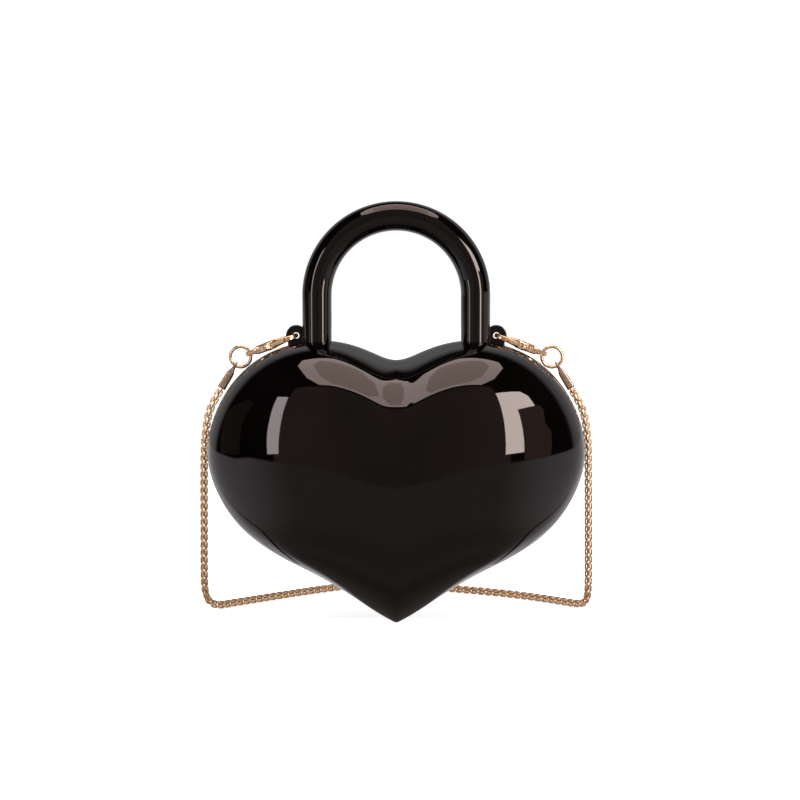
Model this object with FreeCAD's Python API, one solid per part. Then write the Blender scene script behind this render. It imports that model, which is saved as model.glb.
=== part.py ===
import FreeCAD, Part
import math
import os
from FreeCAD import Placement, Rotation, Vector

# Heart-shaped hard evening purse: two domed half shells that open like a clam on a hinge at the
# tip, a round arched handle on the rear half, and a box chain strap on two lobster clasps.
# Millimetres, +Z up, +X to the right and +Y to the back. The origin is the middle of the grip,
# the centre of the handle's bar at the top of its arch.

# Body
body_width = 190.0
body_height = 143.4
body_depth = 100.0
tip_radius = 2.6
flank_angle = 31.3
shell_wall = 2.4

# Outline of the right half, from the notch to the lower flank: shares of half the width and of the height
outline_shares = (
    (0.0, 0.931),
    (0.117, 0.9545),
    (0.235, 0.984),
    (0.39, 1.0),
    (0.562, 0.985),
    (0.761, 0.922),
    (0.908, 0.814),
    (0.986, 0.690),
    (1.0, 0.592),
    (0.9545, 0.478),
    (0.848, 0.3625),
    (0.6555, 0.2565),
    (0.4214, 0.1705),
    (0.2105, 0.0826),
)
tip_arc_shares = (1.0, 0.5, 0.0)

# Swell of a half shell: level lines go from a blend of this oval and the outline at the crown to the outline
# at the rim, and a swell power under 1 makes the shoulders fuller than those of an ellipse
crown_height_share = 0.504
crown_half_width_share = 0.926
crown_half_height_share = 0.462
crown_outline_share = 0.6
fullness_power = 1.4
swell_power = 0.77
tip_taper_share = 0.87
tip_taper_power = 6
rows_to_crown = 12
samples_per_span = 2
speed_step = 0.001

# Handle
handle_bar_diameter = 14.7
handle_spacing_share = 0.4189474
handle_leg_rise = 22.7
handle_leg_depth = 14.8
handle_leg_clearance = 0.35

# Seat of the handle inside the rear half
ledge_thickness = 4.0
ledge_front = 9.0
ledge_inner_margin = 2.0
handle_screw_diameter = 3.8
handle_screw_grip = 9.0
screw_clearance = 0.1
screw_head_diameter = 6.6
screw_head_height = 2.4
screw_slot_width = 0.9
screw_slot_depth = 1.1
washer_diameter = 9.0
washer_thickness = 1.0

# Lugs that carry the chain, one beside each leg
lug_eye_radius = 5.2
lug_hole_radius = 2.1
lug_hole_chamfer = 0.6
lug_eye_offset = 2.85
lug_eye_rise = 2.6
lug_leg_clearance = 0.4
lug_width = 7.0
lug_thickness = 4.0
lug_rim_clearance = 0.3
lug_screw_diameter = 2.6
lug_screw_grip = 6.0
lug_screw_head_diameter = 4.8

# Hinge at the tip
hinge_back = 5.0
hinge_rise = 5.5
hinge_pin_diameter = 2.0
hinge_pin_clearance = 0.05
hinge_pin_press = 0.01
knuckle_radius = 2.6
rear_knuckle_width = 5.8
front_knuckle_width = 3.0
knuckle_gap = 0.4
knuckle_root_low = 4.2
knuckle_root_high = 9.5
knuckle_root_reach = 7.0
rear_web_reach = 13.6
rear_web_low = 10.5
rear_web_high = 14.5
hinge_sweep_clearance = 0.5

# Magnets that hold the halves shut
magnet_diameter = 8.0
magnet_thickness = 2.0
magnet_spacing = 34.0
magnet_drop = 15.8
magnet_post_wall = 1.5
magnet_pocket_clearance = 0.1
magnet_face_setback = 0.1
magnet_post_gap = 0.5

# Flocked liners
liner_gap = 0.3
liner_thickness = 1.0
liner_setback = 0.4
liner_shift = 0.06
liner_top_drop = 26.8
liner_bottom_rise = 19.0

# Jump rings
ring_diameter = 12.0
ring_wire_diameter = 1.7
ring_seat_share = 0.30
ring_seat_gap = 0.2

# Chain ends
chain_width = 4.1
cap_seat_share = 0.364
cap_seat_gap = 1.1
cap_width = 4.4
cap_thickness = 4.2
cap_eye_radius = 2.0
cap_eye_thickness = 1.6
cap_shoulder_start = 1.4
cap_shoulder_end = 4.6

# Lobster clasps
eye_hole_radius = 1.25
clasp_eye_radius = 2.3
clasp_eye_thickness = 2.0
clasp_width = 11.6
clasp_thickness = 4.2
clasp_hook_thickness = 2.6
clasp_hook_bar = 2.4
clasp_outline_shares = (
    (0.08, 0.40),
    (0.21, 0.52),
    (0.36, 0.82),
    (0.58, 1.0),
    (0.80, 0.97),
    (0.97, 0.62),
)
clasp_full_thickness_shares = (0.30, 0.55)
clasp_thin_from_share = 0.88
jaw_start_share = 0.4877
jaw_half_width = 2.9
gate_start_share = 0.5277
gate_lug_clearance = 0.5
gate_gap = 0.4
fork_start_share = 0.2958
fork_slot_width = 2.9
fork_floor = 1.6
lever_thickness = 2.1
lever_side_clearance = 0.2
lever_inset = 0.5
lever_tab_start_share = 0.3358
lever_tab_length = 2.0
lever_tab_rise = 1.3
pivot_share = 0.43175
trigger_pin_diameter = 1.2
trigger_pin_clearance = 0.05
trigger_pin_press = 0.02
spring_radius = 1.25
spring_length = 0.8
spring_clearance = 0.15
gate_rim = 0.2

# Route of the chain between its caps: shares of half the body's width, of half its depth and of its height
# above the tip. The lying points are on the table that the tip stands on. Each end leaves its cap straight.
chain_lead = 5.6
left_hang_shares = (
    (-0.9958, 0.056, 0.7514),
    (-1.0211, 0.070, 0.6954),
    (-1.0337, 0.096, 0.6324),
    (-1.0400, 0.172, 0.5147),
    (-1.0453, 0.276, 0.3817),
    (-1.0516, 0.396, 0.2521),
    (-1.0568, 0.508, 0.1436),
    (-1.0547, 0.580, 0.0735),
    (-1.0347, 0.630, 0.0315),
)
lying_shares = (
    (-0.9895, 0.680),
    (-0.9095, 0.784),
    (-0.7916, 0.952),
    (-0.6505, 1.166),
    (-0.5011, 1.400),
    (-0.3653, 1.604),
    (-0.2589, 1.784),
    (-0.1958, 2.004),
    (-0.1663, 2.248),
    (-0.1221, 2.468),
    (-0.0084, 2.572),
    (0.1074, 2.452),
    (0.1474, 2.212),
    (0.1621, 1.952),
    (0.2168, 1.712),
    (0.3326, 1.544),
    (0.4821, 1.408),
    (0.6379, 1.252),
    (0.7937, 1.048),
    (0.9137, 0.878),
    (1.0063, 0.738),
)
right_hang_shares = (
    (1.0463, 0.668, 0.0259),
    (1.0568, 0.616, 0.0665),
    (1.0568, 0.532, 0.1422),
    (1.0516, 0.412, 0.2542),
    (1.0453, 0.286, 0.3852),
    (1.0389, 0.178, 0.5168),
    (1.0326, 0.096, 0.6338),
    (1.0211, 0.070, 0.6968),
    (0.9958, 0.056, 0.7528),
)
arc_share = 0.45

# Overrun of every cut
overrun = 1.0

# Heights and places that follow
bar_radius = handle_bar_diameter / 2
leg_x = handle_spacing_share * body_width / 2
arch_z = -leg_x
lobe_z = arch_z - handle_leg_rise
tip_z = lobe_z - body_height
crown_z = tip_z + crown_height_share * body_height
leg_end_z = lobe_z - handle_leg_depth
ledge_under_z = leg_end_z - ledge_thickness
lug_flat_x = leg_x + bar_radius + lug_leg_clearance
lug_eye = Vector(lug_flat_x + lug_eye_offset, 0, lobe_z + lug_eye_rise)
lug_middle_y = lug_rim_clearance + lug_thickness / 2
hinge_z = tip_z + hinge_rise
front, back = -1, 1
right, left = 1, -1


def block(low, high):
    """A box between two corners."""
    return Part.makeBox(high.x - low.x, high.y - low.y, high.z - low.z, low)


def prism(corners, along):
    """A flat outline of straight sides, drawn out along a vector."""
    wire = Part.makePolygon([*corners, corners[0]])
    return Part.Face(wire).extrude(along)


def bored(shape, radius, base, along):
    """The shape with a round hole from base along a vector."""
    return shape.cut(Part.makeCylinder(radius, along.Length, base, along))


def mirrored(shape):
    """The shape on the other side of the middle plane."""
    return shape.mirror(Vector(), Vector(1, 0, 0))


def half_outline():
    """The right half of the heart's outline, from the notch to the tip."""
    points = [Vector(x * body_width / 2, 0, tip_z + z * body_height) for x, z in outline_shares]
    for share in tip_arc_shares:
        turn = math.radians(flank_angle) * share
        points.append(Vector(tip_radius * math.sin(turn), 0, tip_z + tip_radius * (1 - math.cos(turn))))
    curve = Part.BSplineCurve()
    curve.interpolate(Points=points, InitialTangent=Vector(1, 0, 0), FinalTangent=Vector(-1, 0, 0))
    return curve


outline = half_outline()


def outline_place(share, distance):
    """A point that stands out from the outline, at a share of the way from the notch to the tip."""
    parameter = outline.FirstParameter + share * (outline.LastParameter - outline.FirstParameter)
    point = outline.value(parameter)
    along = outline.tangent(parameter)[0]
    return point + Vector(-along.z, 0, along.x) * distance


def sample_parameters():
    """Places along the outline at which a dome is worked out, evenly spread in each span."""
    places = []
    for first, last in zip(outline.getKnots(), outline.getKnots()[1:]):
        places += [first + (last - first) * step / samples_per_span for step in range(samples_per_span)]
    return [*places, outline.LastParameter]


def dome_point(rim, rise, inset, side):
    """A point of a dome, from its rim point and the angle from the crown to it.

    The level lines turn from a rounded heart near the crown into the outline at the rim, and the
    profile tapers towards the tip. The inset moves the whole dome inwards.
    """
    out_x, out_z = rim.x, rim.z - crown_z
    reach = math.hypot(out_x, out_z)
    ray_x, ray_z = out_x / reach, out_z / reach
    half_width = crown_half_width_share * body_width / 2
    half_height = crown_half_height_share * body_height
    oval = 1 / math.hypot(ray_x / half_width, ray_z / half_height)
    start = oval + (reach - oval) * crown_outline_share
    fullness = math.sin(rise) ** fullness_power
    radius = math.sin(rise) * (start + (reach - start) * fullness - inset)
    taper = 1 + tip_taper_share * ((1 - ray_z) / 2) ** tip_taper_power * fullness
    depth = (body_depth / 2 - inset) * max(math.cos(rise), 0) ** (swell_power * taper)
    return Vector(ray_x * radius, side * depth, crown_z + ray_z * radius)


def row_speed(place, step, rise, inset, side):
    """How fast a row of a dome runs sideways at an end of the outline."""
    here = dome_point(outline.value(place), rise, inset, side)
    there = dome_point(outline.value(place + step), rise, inset, side)
    return Vector((there.x - here.x) / step, 0, 0)


def dome_surface(inset, side, hand):
    """One half, right or left, of a dome: a smooth surface from its rim, v = 0, to its crown."""
    places = sample_parameters()
    steps = [row / rows_to_crown for row in range(rows_to_crown + 1)]
    crown = dome_point(outline.value(places[0]), 0, inset, side)
    rows = []
    for step in steps[:-1]:
        rise = math.pi / 2 * (1 - step)
        curve = Part.BSplineCurve()
        curve.interpolate(
            Points=[dome_point(outline.value(place), rise, inset, side) for place in places],
            Parameters=places,
            InitialTangent=row_speed(places[0], speed_step, rise, inset, side),
            FinalTangent=row_speed(places[-1], -speed_step, rise, inset, side),
            Scale=False,
        )
        rows.append(curve)
    columns = []
    for poles in zip(*[row.getPoles() for row in rows]):
        curve = Part.BSplineCurve()
        curve.interpolate(
            Points=[*poles, crown],
            Parameters=steps,
            InitialTangent=Vector(0, side, 0),
            FinalTangent=Vector(crown.x - poles[-1].x, 0, crown.z - poles[-1].z),
        )
        columns.append(curve)
    poles = [[Vector(hand * pole.x, pole.y, pole.z) for pole in column.getPoles()] for column in columns]
    surface = Part.BSplineSurface()
    surface.buildFromPolesMultsKnots(
        poles,
        rows[0].getMultiplicities(),
        columns[0].getMultiplicities(),
        rows[0].getKnots(),
        columns[0].getKnots(),
        False,
        False,
        rows[0].Degree,
        columns[0].Degree,
    )
    return surface


def rim_wire(surfaces):
    """The closed rim of a dome."""
    return Part.Wire(Part.__sortEdges__([surface.vIso(0).toShape() for surface in surfaces]))


def closed_solid(faces):
    """The solid inside faces that meet edge to edge."""
    skin = Part.makeCompound(faces)
    skin.sewShape()
    solid = Part.makeSolid(skin.Shells[0])
    if solid.Volume < 0:
        solid.reverse()
    return solid


def dome_solid(inset, side):
    """A full dome, closed on the parting plane."""
    surfaces = [dome_surface(inset, side, hand) for hand in (right, left)]
    return closed_solid([*[surface.toShape() for surface in surfaces], Part.Face(rim_wire(surfaces))])


def dome_shell(inset, wall, side):
    """A hollow dome with a flat rim on the parting plane."""
    return dome_solid(inset, side).cut(dome_solid(inset + wall, side))


mid_wall = {side: dome_solid(shell_wall / 2, side) for side in (front, back)}


def half_room(side):
    """All the room on one side of the parting plane."""
    reach = Vector(body_width, body_depth, body_height)
    low = Vector(-reach.x, min(0, side * reach.y), tip_z - reach.z)
    high = Vector(reach.x, max(0, side * reach.y), lobe_z + reach.z)
    return block(low, high)


def moulded(piece, side):
    """What a half shell keeps of a piece: the part within its own wall, and what stands out past the rim."""
    within = piece.common(mid_wall[side])
    past = piece.common(half_room(-side))
    return within.fuse(past) if past.Volume else within


def leg_hole(hand):
    """The room that a leg needs in the rims."""
    radius = bar_radius + handle_leg_clearance
    base = Vector(hand * leg_x, 0, leg_end_z)
    return Part.makeCylinder(radius, arch_z - leg_end_z, base)


def magnet_place(hand, side):
    """The middle of a magnet post's face."""
    return Vector(hand * magnet_spacing / 2, side * magnet_post_gap / 2, lobe_z - magnet_drop)


def magnet_post(hand, side):
    """A post from the wall to the parting plane that holds a magnet."""
    radius = magnet_diameter / 2 + magnet_pocket_clearance + magnet_post_wall
    post = Part.makeCylinder(radius, body_depth / 2, magnet_place(hand, side), Vector(0, side, 0))
    return moulded(post, side)


def magnet_pocket(hand, side):
    """The pocket for a magnet in its post."""
    depth = magnet_thickness + magnet_face_setback + magnet_pocket_clearance
    radius = magnet_diameter / 2 + magnet_pocket_clearance
    return Part.makeCylinder(radius, depth, magnet_place(hand, side), Vector(0, side, 0))


def magnet(hand, side):
    """A disc magnet in its pocket."""
    base = magnet_place(hand, side) + Vector(0, side * magnet_face_setback, 0)
    return Part.makeCylinder(magnet_diameter / 2, magnet_thickness, base, Vector(0, side, 0))


def knuckle(low_x, width, root):
    """A hinge knuckle: a round eye on the hinge's axis, and a web from it to the root's two corners."""
    start = Vector(low_x, hinge_back, hinge_z)
    along = Vector(width, 0, 0)
    eye = Part.makeCylinder(knuckle_radius, width, start, along)
    rise = Vector(0, 0, knuckle_radius)
    web = prism([start - rise, *[Vector(low_x, y, z) for y, z in root], start + rise], along)
    return eye.fuse(web)


def front_knuckles():
    """The two knuckles at the ends of the hinge, which stand out of the front half's tip."""
    low_z, high_z = tip_z + knuckle_root_low, tip_z + knuckle_root_high
    root = [(0, low_z), (-knuckle_root_reach, low_z), (-knuckle_root_reach, high_z), (0, high_z)]
    inner_x = rear_knuckle_width / 2 + knuckle_gap
    first = knuckle(inner_x, front_knuckle_width, root)
    second = knuckle(-inner_x - front_knuckle_width, front_knuckle_width, root)
    return [moulded(piece, front) for piece in (first, second)]


def rear_knuckle():
    """The middle knuckle, which the rear half carries."""
    reach_y = hinge_back + rear_web_reach
    root = [(reach_y, tip_z + rear_web_low), (reach_y, tip_z + rear_web_high)]
    return moulded(knuckle(-rear_knuckle_width / 2, rear_knuckle_width, root), back)


def hinge_bore(clearance):
    """The hole for the hinge pin, through all knuckles."""
    half = rear_knuckle_width / 2 + knuckle_gap + front_knuckle_width + overrun
    radius = hinge_pin_diameter / 2 + clearance
    return Part.makeCylinder(radius, half * 2, Vector(-half, hinge_back, hinge_z), Vector(1, 0, 0))


def hinge_pocket():
    """The room in the rear half's tip that the front half's tip sweeps through."""
    radius = math.hypot(hinge_back, hinge_rise) + hinge_sweep_clearance
    half = hinge_rise / math.tan(math.radians(flank_angle)) + hinge_sweep_clearance
    return Part.makeCylinder(radius, half * 2, Vector(-half, hinge_back, hinge_z), Vector(1, 0, 0))


def front_shell():
    """The front half: the lid of the purse."""
    shape = dome_shell(0, shell_wall, front)
    shape = shape.fuse([magnet_post(hand, front) for hand in (right, left)])
    shape = shape.fuse(front_knuckles())
    cuts = [leg_hole(hand) for hand in (right, left)]
    cuts += [magnet_pocket(hand, front) for hand in (right, left)]
    return shape.cut([*cuts, hinge_bore(hinge_pin_clearance)])


def ledge(hand):
    """The shelf inside the rear half that a leg and a lug stand on."""
    inner_x = leg_x - bar_radius - ledge_inner_margin
    outer_x = lug_flat_x + lug_width + ledge_inner_margin
    low = Vector(min(hand * inner_x, hand * outer_x), -ledge_front, ledge_under_z)
    high = Vector(max(hand * inner_x, hand * outer_x), body_depth / 2, leg_end_z)
    return moulded(block(low, high), back)


def lug_slot(hand):
    """The slot in the rear rim that a lug's shank comes up through."""
    room = Vector(lug_rim_clearance, lug_rim_clearance, 0)
    low = Vector(lug_flat_x, 0, leg_end_z) - Vector(room.x, 0, 0)
    high = Vector(lug_flat_x + lug_width, lug_rim_clearance + lug_thickness, lobe_z + overrun) + room
    slot = block(low, high)
    return slot if hand == right else mirrored(slot)


def screw_places(x, y):
    """Both sides' places of a screw at the underside of the ledges."""
    return [Vector(hand * x, y, ledge_under_z) for hand in (right, left)]


handle_screw_places = screw_places(leg_x, 0)
lug_screw_places = screw_places(lug_flat_x + lug_width / 2, lug_middle_y)


def rear_shell():
    """The rear half: it carries the handle, the lugs and the hinge."""
    shape = dome_shell(0, shell_wall, back)
    shape = shape.cut([hinge_pocket(), *[leg_hole(hand) for hand in (right, left)]])
    shape = shape.cut([lug_slot(hand) for hand in (right, left)])
    additions = [rear_knuckle()]
    additions += [magnet_post(hand, back) for hand in (right, left)]
    additions += [ledge(hand) for hand in (right, left)]
    shape = shape.fuse(additions)
    cuts = [magnet_pocket(hand, back) for hand in (right, left)]
    through = Vector(0, 0, ledge_thickness)
    for diameter, places in ((handle_screw_diameter, handle_screw_places), (lug_screw_diameter, lug_screw_places)):
        radius = diameter / 2 + screw_clearance
        cuts += [Part.makeCylinder(radius, through.Length, place) for place in places]
    return shape.cut([*cuts, hinge_bore(hinge_pin_press)])


def liner(side):
    """The flocked liner of a half, between the hinge and the handle's seat, set over a little in its gap."""
    shape = dome_shell(shell_wall + liner_gap, liner_thickness, side)
    top_z = lobe_z - liner_top_drop
    bottom_z = tip_z + liner_bottom_rise
    far = Vector(body_width, body_depth, 0)
    above = block(Vector(-far.x, -far.y, top_z), Vector(far.x, far.y, lobe_z + overrun))
    below = block(Vector(-far.x, -far.y, tip_z - overrun), Vector(far.x, far.y, bottom_z))
    rim = block(
        Vector(-far.x, -liner_setback, tip_z - overrun),
        Vector(far.x, liner_setback, lobe_z + overrun),
    )
    shape = shape.cut([above, below, rim])
    shape.translate(Vector(liner_shift, 0, 0))
    return shape


def handle():
    """The arched bar with its two straight legs."""
    section = Part.Face(Part.Wire(Part.makeCircle(bar_radius, Vector(leg_x, 0, arch_z))))
    arch = section.revolve(Vector(0, 0, arch_z), Vector(0, -1, 0), 180)
    legs = [
        Part.makeCylinder(bar_radius, arch_z - leg_end_z, Vector(hand * leg_x, 0, leg_end_z))
        for hand in (right, left)
    ]
    shape = arch.fuse(legs).removeSplitter()
    depth = Vector(0, 0, handle_screw_grip + screw_clearance)
    for place in handle_screw_places:
        start = place + Vector(0, 0, ledge_thickness)
        shape = bored(shape, handle_screw_diameter / 2 + screw_clearance, start, depth)
    return shape


def screw(place, diameter, head_diameter, head_drop, grip):
    """A slotted pan-head screw that points up through a ledge."""
    under_head = place - Vector(0, 0, head_drop)
    shank = Part.makeCylinder(diameter / 2, head_drop + ledge_thickness + grip, under_head)
    head_base = under_head - Vector(0, 0, screw_head_height)
    head = Part.makeCylinder(head_diameter / 2, screw_head_height, head_base)
    slot_low = head_base - Vector(head_diameter, screw_slot_width / 2, 0)
    slot_high = head_base + Vector(head_diameter, screw_slot_width / 2, screw_slot_depth)
    return head.cut(block(slot_low, slot_high)).fuse(shank).removeSplitter()


def handle_screws():
    """One screw up into each leg."""
    return [
        screw(place, handle_screw_diameter, screw_head_diameter, washer_thickness, handle_screw_grip)
        for place in handle_screw_places
    ]


def handle_washers():
    """The washers under the handle's screws."""
    rings = []
    for place in handle_screw_places:
        base = place - Vector(0, 0, washer_thickness)
        ring = Part.makeCylinder(washer_diameter / 2, washer_thickness, base)
        hole = handle_screw_diameter / 2 + screw_clearance
        rings.append(bored(ring, hole, base, Vector(0, 0, washer_thickness)))
    return rings


def lug_screws():
    """One screw up into each lug's shank."""
    return [
        screw(place, lug_screw_diameter, lug_screw_head_diameter, 0, lug_screw_grip)
        for place in lug_screw_places
    ]


def chain_lug():
    """The right lug: a round eye beside the leg, on a flat shank that stands on the ledge."""
    through = Vector(0, lug_thickness, 0)
    base = lug_eye + Vector(0, lug_rim_clearance, 0)
    eye = Part.makeCylinder(lug_eye_radius, lug_thickness, base, through)
    beside_leg = block(
        Vector(leg_x, -overrun, lug_eye.z - lug_eye_radius * 2),
        Vector(lug_flat_x, lug_thickness + overrun, lug_eye.z + lug_eye_radius * 2),
    )
    shank = block(
        Vector(lug_flat_x, lug_rim_clearance, leg_end_z),
        Vector(lug_flat_x + lug_width, lug_rim_clearance + lug_thickness, lug_eye.z),
    )
    shape = eye.cut(beside_leg).fuse(shank).removeSplitter()
    shape = bored(shape, lug_hole_radius, base, through)
    wide = lug_hole_radius + lug_hole_chamfer
    for face, way in ((base, through), (base + through, -through)):
        shape = shape.cut(Part.makeCone(wide, lug_hole_radius, lug_hole_chamfer, face, way))
    start = lug_screw_places[0] + Vector(0, 0, ledge_thickness)
    depth = Vector(0, 0, lug_screw_grip + screw_clearance)
    return bored(shape, lug_screw_diameter / 2 + screw_clearance, start, depth)


def hinge_pin():
    """The hinge's steel pin."""
    half = rear_knuckle_width / 2 + knuckle_gap + front_knuckle_width
    radius = hinge_pin_diameter / 2
    return Part.makeCylinder(radius, half * 2, Vector(-half, hinge_back, hinge_z), Vector(1, 0, 0))


# Places of the strap's fittings, on the right
ring_middle_radius = (ring_diameter - ring_wire_diameter) / 2
strap_lift = Vector(0, lug_middle_y, 0)
ring_centre = outline_place(ring_seat_share, ring_diameter / 2 + ring_seat_gap) + strap_lift
cap_end = outline_place(cap_seat_share, chain_width / 2 + cap_seat_gap) + strap_lift
lug_hole_centre = lug_eye + strap_lift
hook_way = (lug_hole_centre - ring_centre).normalize()
clasp_tail = ring_centre + hook_way * ring_middle_radius
clasp_reach = (lug_hole_centre - clasp_tail).Length
jaw_start = jaw_start_share * clasp_reach
gate_start = gate_start_share * clasp_reach
gate_end = clasp_reach - lug_eye_radius - gate_lug_clearance
fork_start = fork_start_share * clasp_reach
lever_tab_start = lever_tab_start_share * clasp_reach
pivot_place = pivot_share * clasp_reach
cap_way = (cap_end - ring_centre).normalize()
cap_tail = ring_centre + cap_way * ring_middle_radius
cap_length = (cap_end - cap_tail).Length
chain_lead_end = cap_end + cap_way * chain_lead


def fitted(shape, tail, way, hand):
    """Put a fitting made along +X, with its eye at the origin and its flat side on Z, on the strap."""
    place = Vector(hand * tail.x, tail.y, tail.z)
    turn = math.degrees(math.atan2(-way.z, hand * way.x))
    moved = shape.copy()
    moved.Placement = Placement(place, Rotation(Vector(0, 1, 0), turn))
    return moved


def flat_shape(profile, thickness):
    """A closed curve in the XY plane as a plate of a thickness, even about that plane."""
    face = Part.Face(Part.Wire(profile))
    face.translate(Vector(0, 0, -thickness / 2))
    return face.extrude(Vector(0, 0, thickness))


def side_profile(stations, width):
    """A plate across Y whose half thickness along Z is given at places along X."""
    upper = [Vector(x, -width, half) for x, half in stations]
    lower = [Vector(x, -width, -half) for x, half in reversed(stations)]
    return prism(upper + lower, Vector(0, width * 2, 0))


def clasp_blank():
    """The clasp's outer form: a drop-shaped plate that is thickest at the lever and thin at its ends."""
    half_width = clasp_width / 2
    end_x = clasp_reach + clasp_hook_bar / 2
    upper = [Vector(share * clasp_reach, rise * half_width, 0) for share, rise in clasp_outline_shares]
    lower = [Vector(point.x, -point.y, 0) for point in reversed(upper)]
    curve = Part.BSplineCurve()
    curve.interpolate(
        Points=[Vector(-clasp_eye_radius, 0, 0), *upper, Vector(end_x, 0, 0), *lower],
        PeriodicFlag=True,
    )
    plate = flat_shape([curve.toShape()], clasp_thickness)
    full_from, full_to = [share * clasp_reach for share in clasp_full_thickness_shares]
    stations = [
        (-clasp_eye_radius - overrun, clasp_eye_thickness / 2),
        (clasp_eye_radius, clasp_eye_thickness / 2),
        (full_from, clasp_thickness / 2),
        (full_to, clasp_thickness / 2),
        (clasp_thin_from_share * clasp_reach, clasp_hook_thickness / 2),
        (end_x + overrun, clasp_hook_thickness / 2),
    ]
    return plate.common(side_profile(stations, clasp_width))


def jaw_room():
    """The inside of the clasp's jaw."""
    start = jaw_start + jaw_half_width
    end = clasp_reach - clasp_hook_bar / 2 - jaw_half_width
    deep = Vector(0, 0, clasp_thickness)
    ends = [
        Part.makeCylinder(jaw_half_width, deep.z * 2, Vector(x, 0, 0) - deep)
        for x in (start, end)
    ]
    middle = block(Vector(start, -jaw_half_width, -deep.z), Vector(end, jaw_half_width, deep.z))
    return middle.fuse(ends)


def fork_room():
    """The room for the lever: a slot between two cheeks at the pivot, and the open mouth past them."""
    half_slot = fork_slot_width / 2
    slot = block(
        Vector(fork_start, -clasp_width, -half_slot),
        Vector(gate_start, -fork_floor, half_slot),
    )
    mouth = block(
        Vector(gate_start, -clasp_width, -clasp_thickness),
        Vector(gate_end, -jaw_half_width / 2, clasp_thickness),
    )
    return slot.fuse(mouth)


def pivot_point():
    """The place of the lever's pivot in the clasp."""
    return Vector(pivot_place, lever_inset + lever_thickness / 2 - clasp_width / 2 + lever_inset, 0)


def pivot_cylinder(radius, low, high):
    """A cylinder on the lever's pivot axis."""
    return Part.makeCylinder(radius, high - low, pivot_point() + Vector(0, 0, low))


def clasp_body():
    """The clasp's cast hook, with its eye, its cheeks and its jaw."""
    shape = clasp_blank().cut([jaw_room(), fork_room()])
    half = clasp_thickness / 2 + overrun
    eye = Part.makeCylinder(eye_hole_radius, half * 2, Vector(0, 0, -half))
    pin_hole = pivot_cylinder(trigger_pin_diameter / 2 + trigger_pin_press, -half, half)
    return shape.cut([eye, pin_hole])


def clasp_trigger():
    """The lever: a gate that closes the jaw, a pivot eye and a thumb tab."""
    half_slot = fork_slot_width / 2 - lever_side_clearance
    pivot = pivot_point()
    low_y = pivot.y - lever_thickness / 2
    high_y = pivot.y + lever_thickness / 2
    arm = block(Vector(lever_tab_start, low_y, -half_slot), Vector(gate_end - gate_gap, high_y, half_slot))
    half_gate = clasp_hook_thickness / 2 + gate_rim
    gate = block(
        Vector(gate_start + lever_side_clearance + gate_gap, low_y, -half_gate),
        Vector(gate_end - gate_gap, high_y, half_gate),
    )
    tab = block(
        Vector(lever_tab_start, low_y - lever_tab_rise, -half_slot),
        Vector(lever_tab_start + lever_tab_length, high_y, half_slot),
    )
    spring_room = pivot_cylinder(spring_radius + spring_clearance, half_slot - spring_length, half_slot + overrun)
    bore = pivot_cylinder(trigger_pin_diameter / 2 + trigger_pin_clearance, -clasp_thickness, clasp_thickness)
    return arm.fuse([gate, tab]).removeSplitter().cut([spring_room, bore])


def trigger_pin():
    """The lever's pivot pin."""
    return pivot_cylinder(trigger_pin_diameter / 2, -clasp_thickness / 2, clasp_thickness / 2)


def trigger_spring():
    """The room that the lever's small coiled spring takes up round the pin."""
    top = fork_slot_width / 2 - lever_side_clearance
    bottom = top - spring_length + spring_clearance
    sleeve = pivot_cylinder(spring_radius, bottom, top)
    return sleeve.cut(pivot_cylinder(trigger_pin_diameter / 2 + trigger_pin_clearance, bottom, top))


def jump_ring(hand):
    """A closed ring that joins a clasp to a chain end."""
    centre = Vector(hand * ring_centre.x, ring_centre.y, ring_centre.z)
    return Part.makeTorus(ring_middle_radius, ring_wire_diameter / 2, centre, Vector(0, 1, 0))


def chain_cap():
    """A chain end: an eye for the ring on a square sleeve that the last link is held in."""
    half_width = cap_width / 2
    eye = Part.makeCylinder(cap_eye_radius, cap_thickness, Vector(0, 0, -cap_thickness / 2))
    neck = prism(
        [
            Vector(0, -cap_eye_radius, -cap_thickness / 2),
            Vector(cap_shoulder_start, -cap_eye_radius, -cap_thickness / 2),
            Vector(cap_shoulder_end, -half_width, -cap_thickness / 2),
            Vector(cap_length, -half_width, -cap_thickness / 2),
            Vector(cap_length, half_width, -cap_thickness / 2),
            Vector(cap_shoulder_end, half_width, -cap_thickness / 2),
            Vector(cap_shoulder_start, cap_eye_radius, -cap_thickness / 2),
            Vector(0, cap_eye_radius, -cap_thickness / 2),
        ],
        Vector(0, 0, cap_thickness),
    )
    stations = [
        (-cap_eye_radius - overrun, cap_eye_thickness / 2),
        (cap_shoulder_start, cap_eye_thickness / 2),
        (cap_shoulder_end, cap_thickness / 2),
        (cap_length + overrun, cap_thickness / 2),
    ]
    shape = eye.fuse(neck).removeSplitter().common(side_profile(stations, cap_width))
    return bored(shape, eye_hole_radius, Vector(0, 0, -cap_thickness), Vector(0, 0, cap_thickness * 2))


def cord_path(points):
    """Straight runs joined by tangent arcs, each as large as its two runs allow. Prints the radii."""
    edges = []
    radii = []
    start = points[0]
    for before, corner, after in zip(points, points[1:], points[2:]):
        back_way = (before - corner).normalize()
        on_way = (after - corner).normalize()
        half_turn = (math.pi - back_way.getAngle(on_way)) / 2
        trim = arc_share * min((before - corner).Length, (after - corner).Length)
        radius = trim / math.tan(half_turn)
        middle_way = (back_way + on_way).normalize()
        to_arc = radius / math.cos(half_turn) - radius
        first, last = corner + back_way * trim, corner + on_way * trim
        edges.append(Part.LineSegment(start, first).toShape())
        edges.append(Part.Arc(first, corner + middle_way * to_arc, last).toShape())
        radii.append(round(radius, 1))
        start = last
    edges.append(Part.LineSegment(start, points[-1]).toShape())
    print("chain bend radii", radii)
    return Part.Wire(edges)


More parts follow.
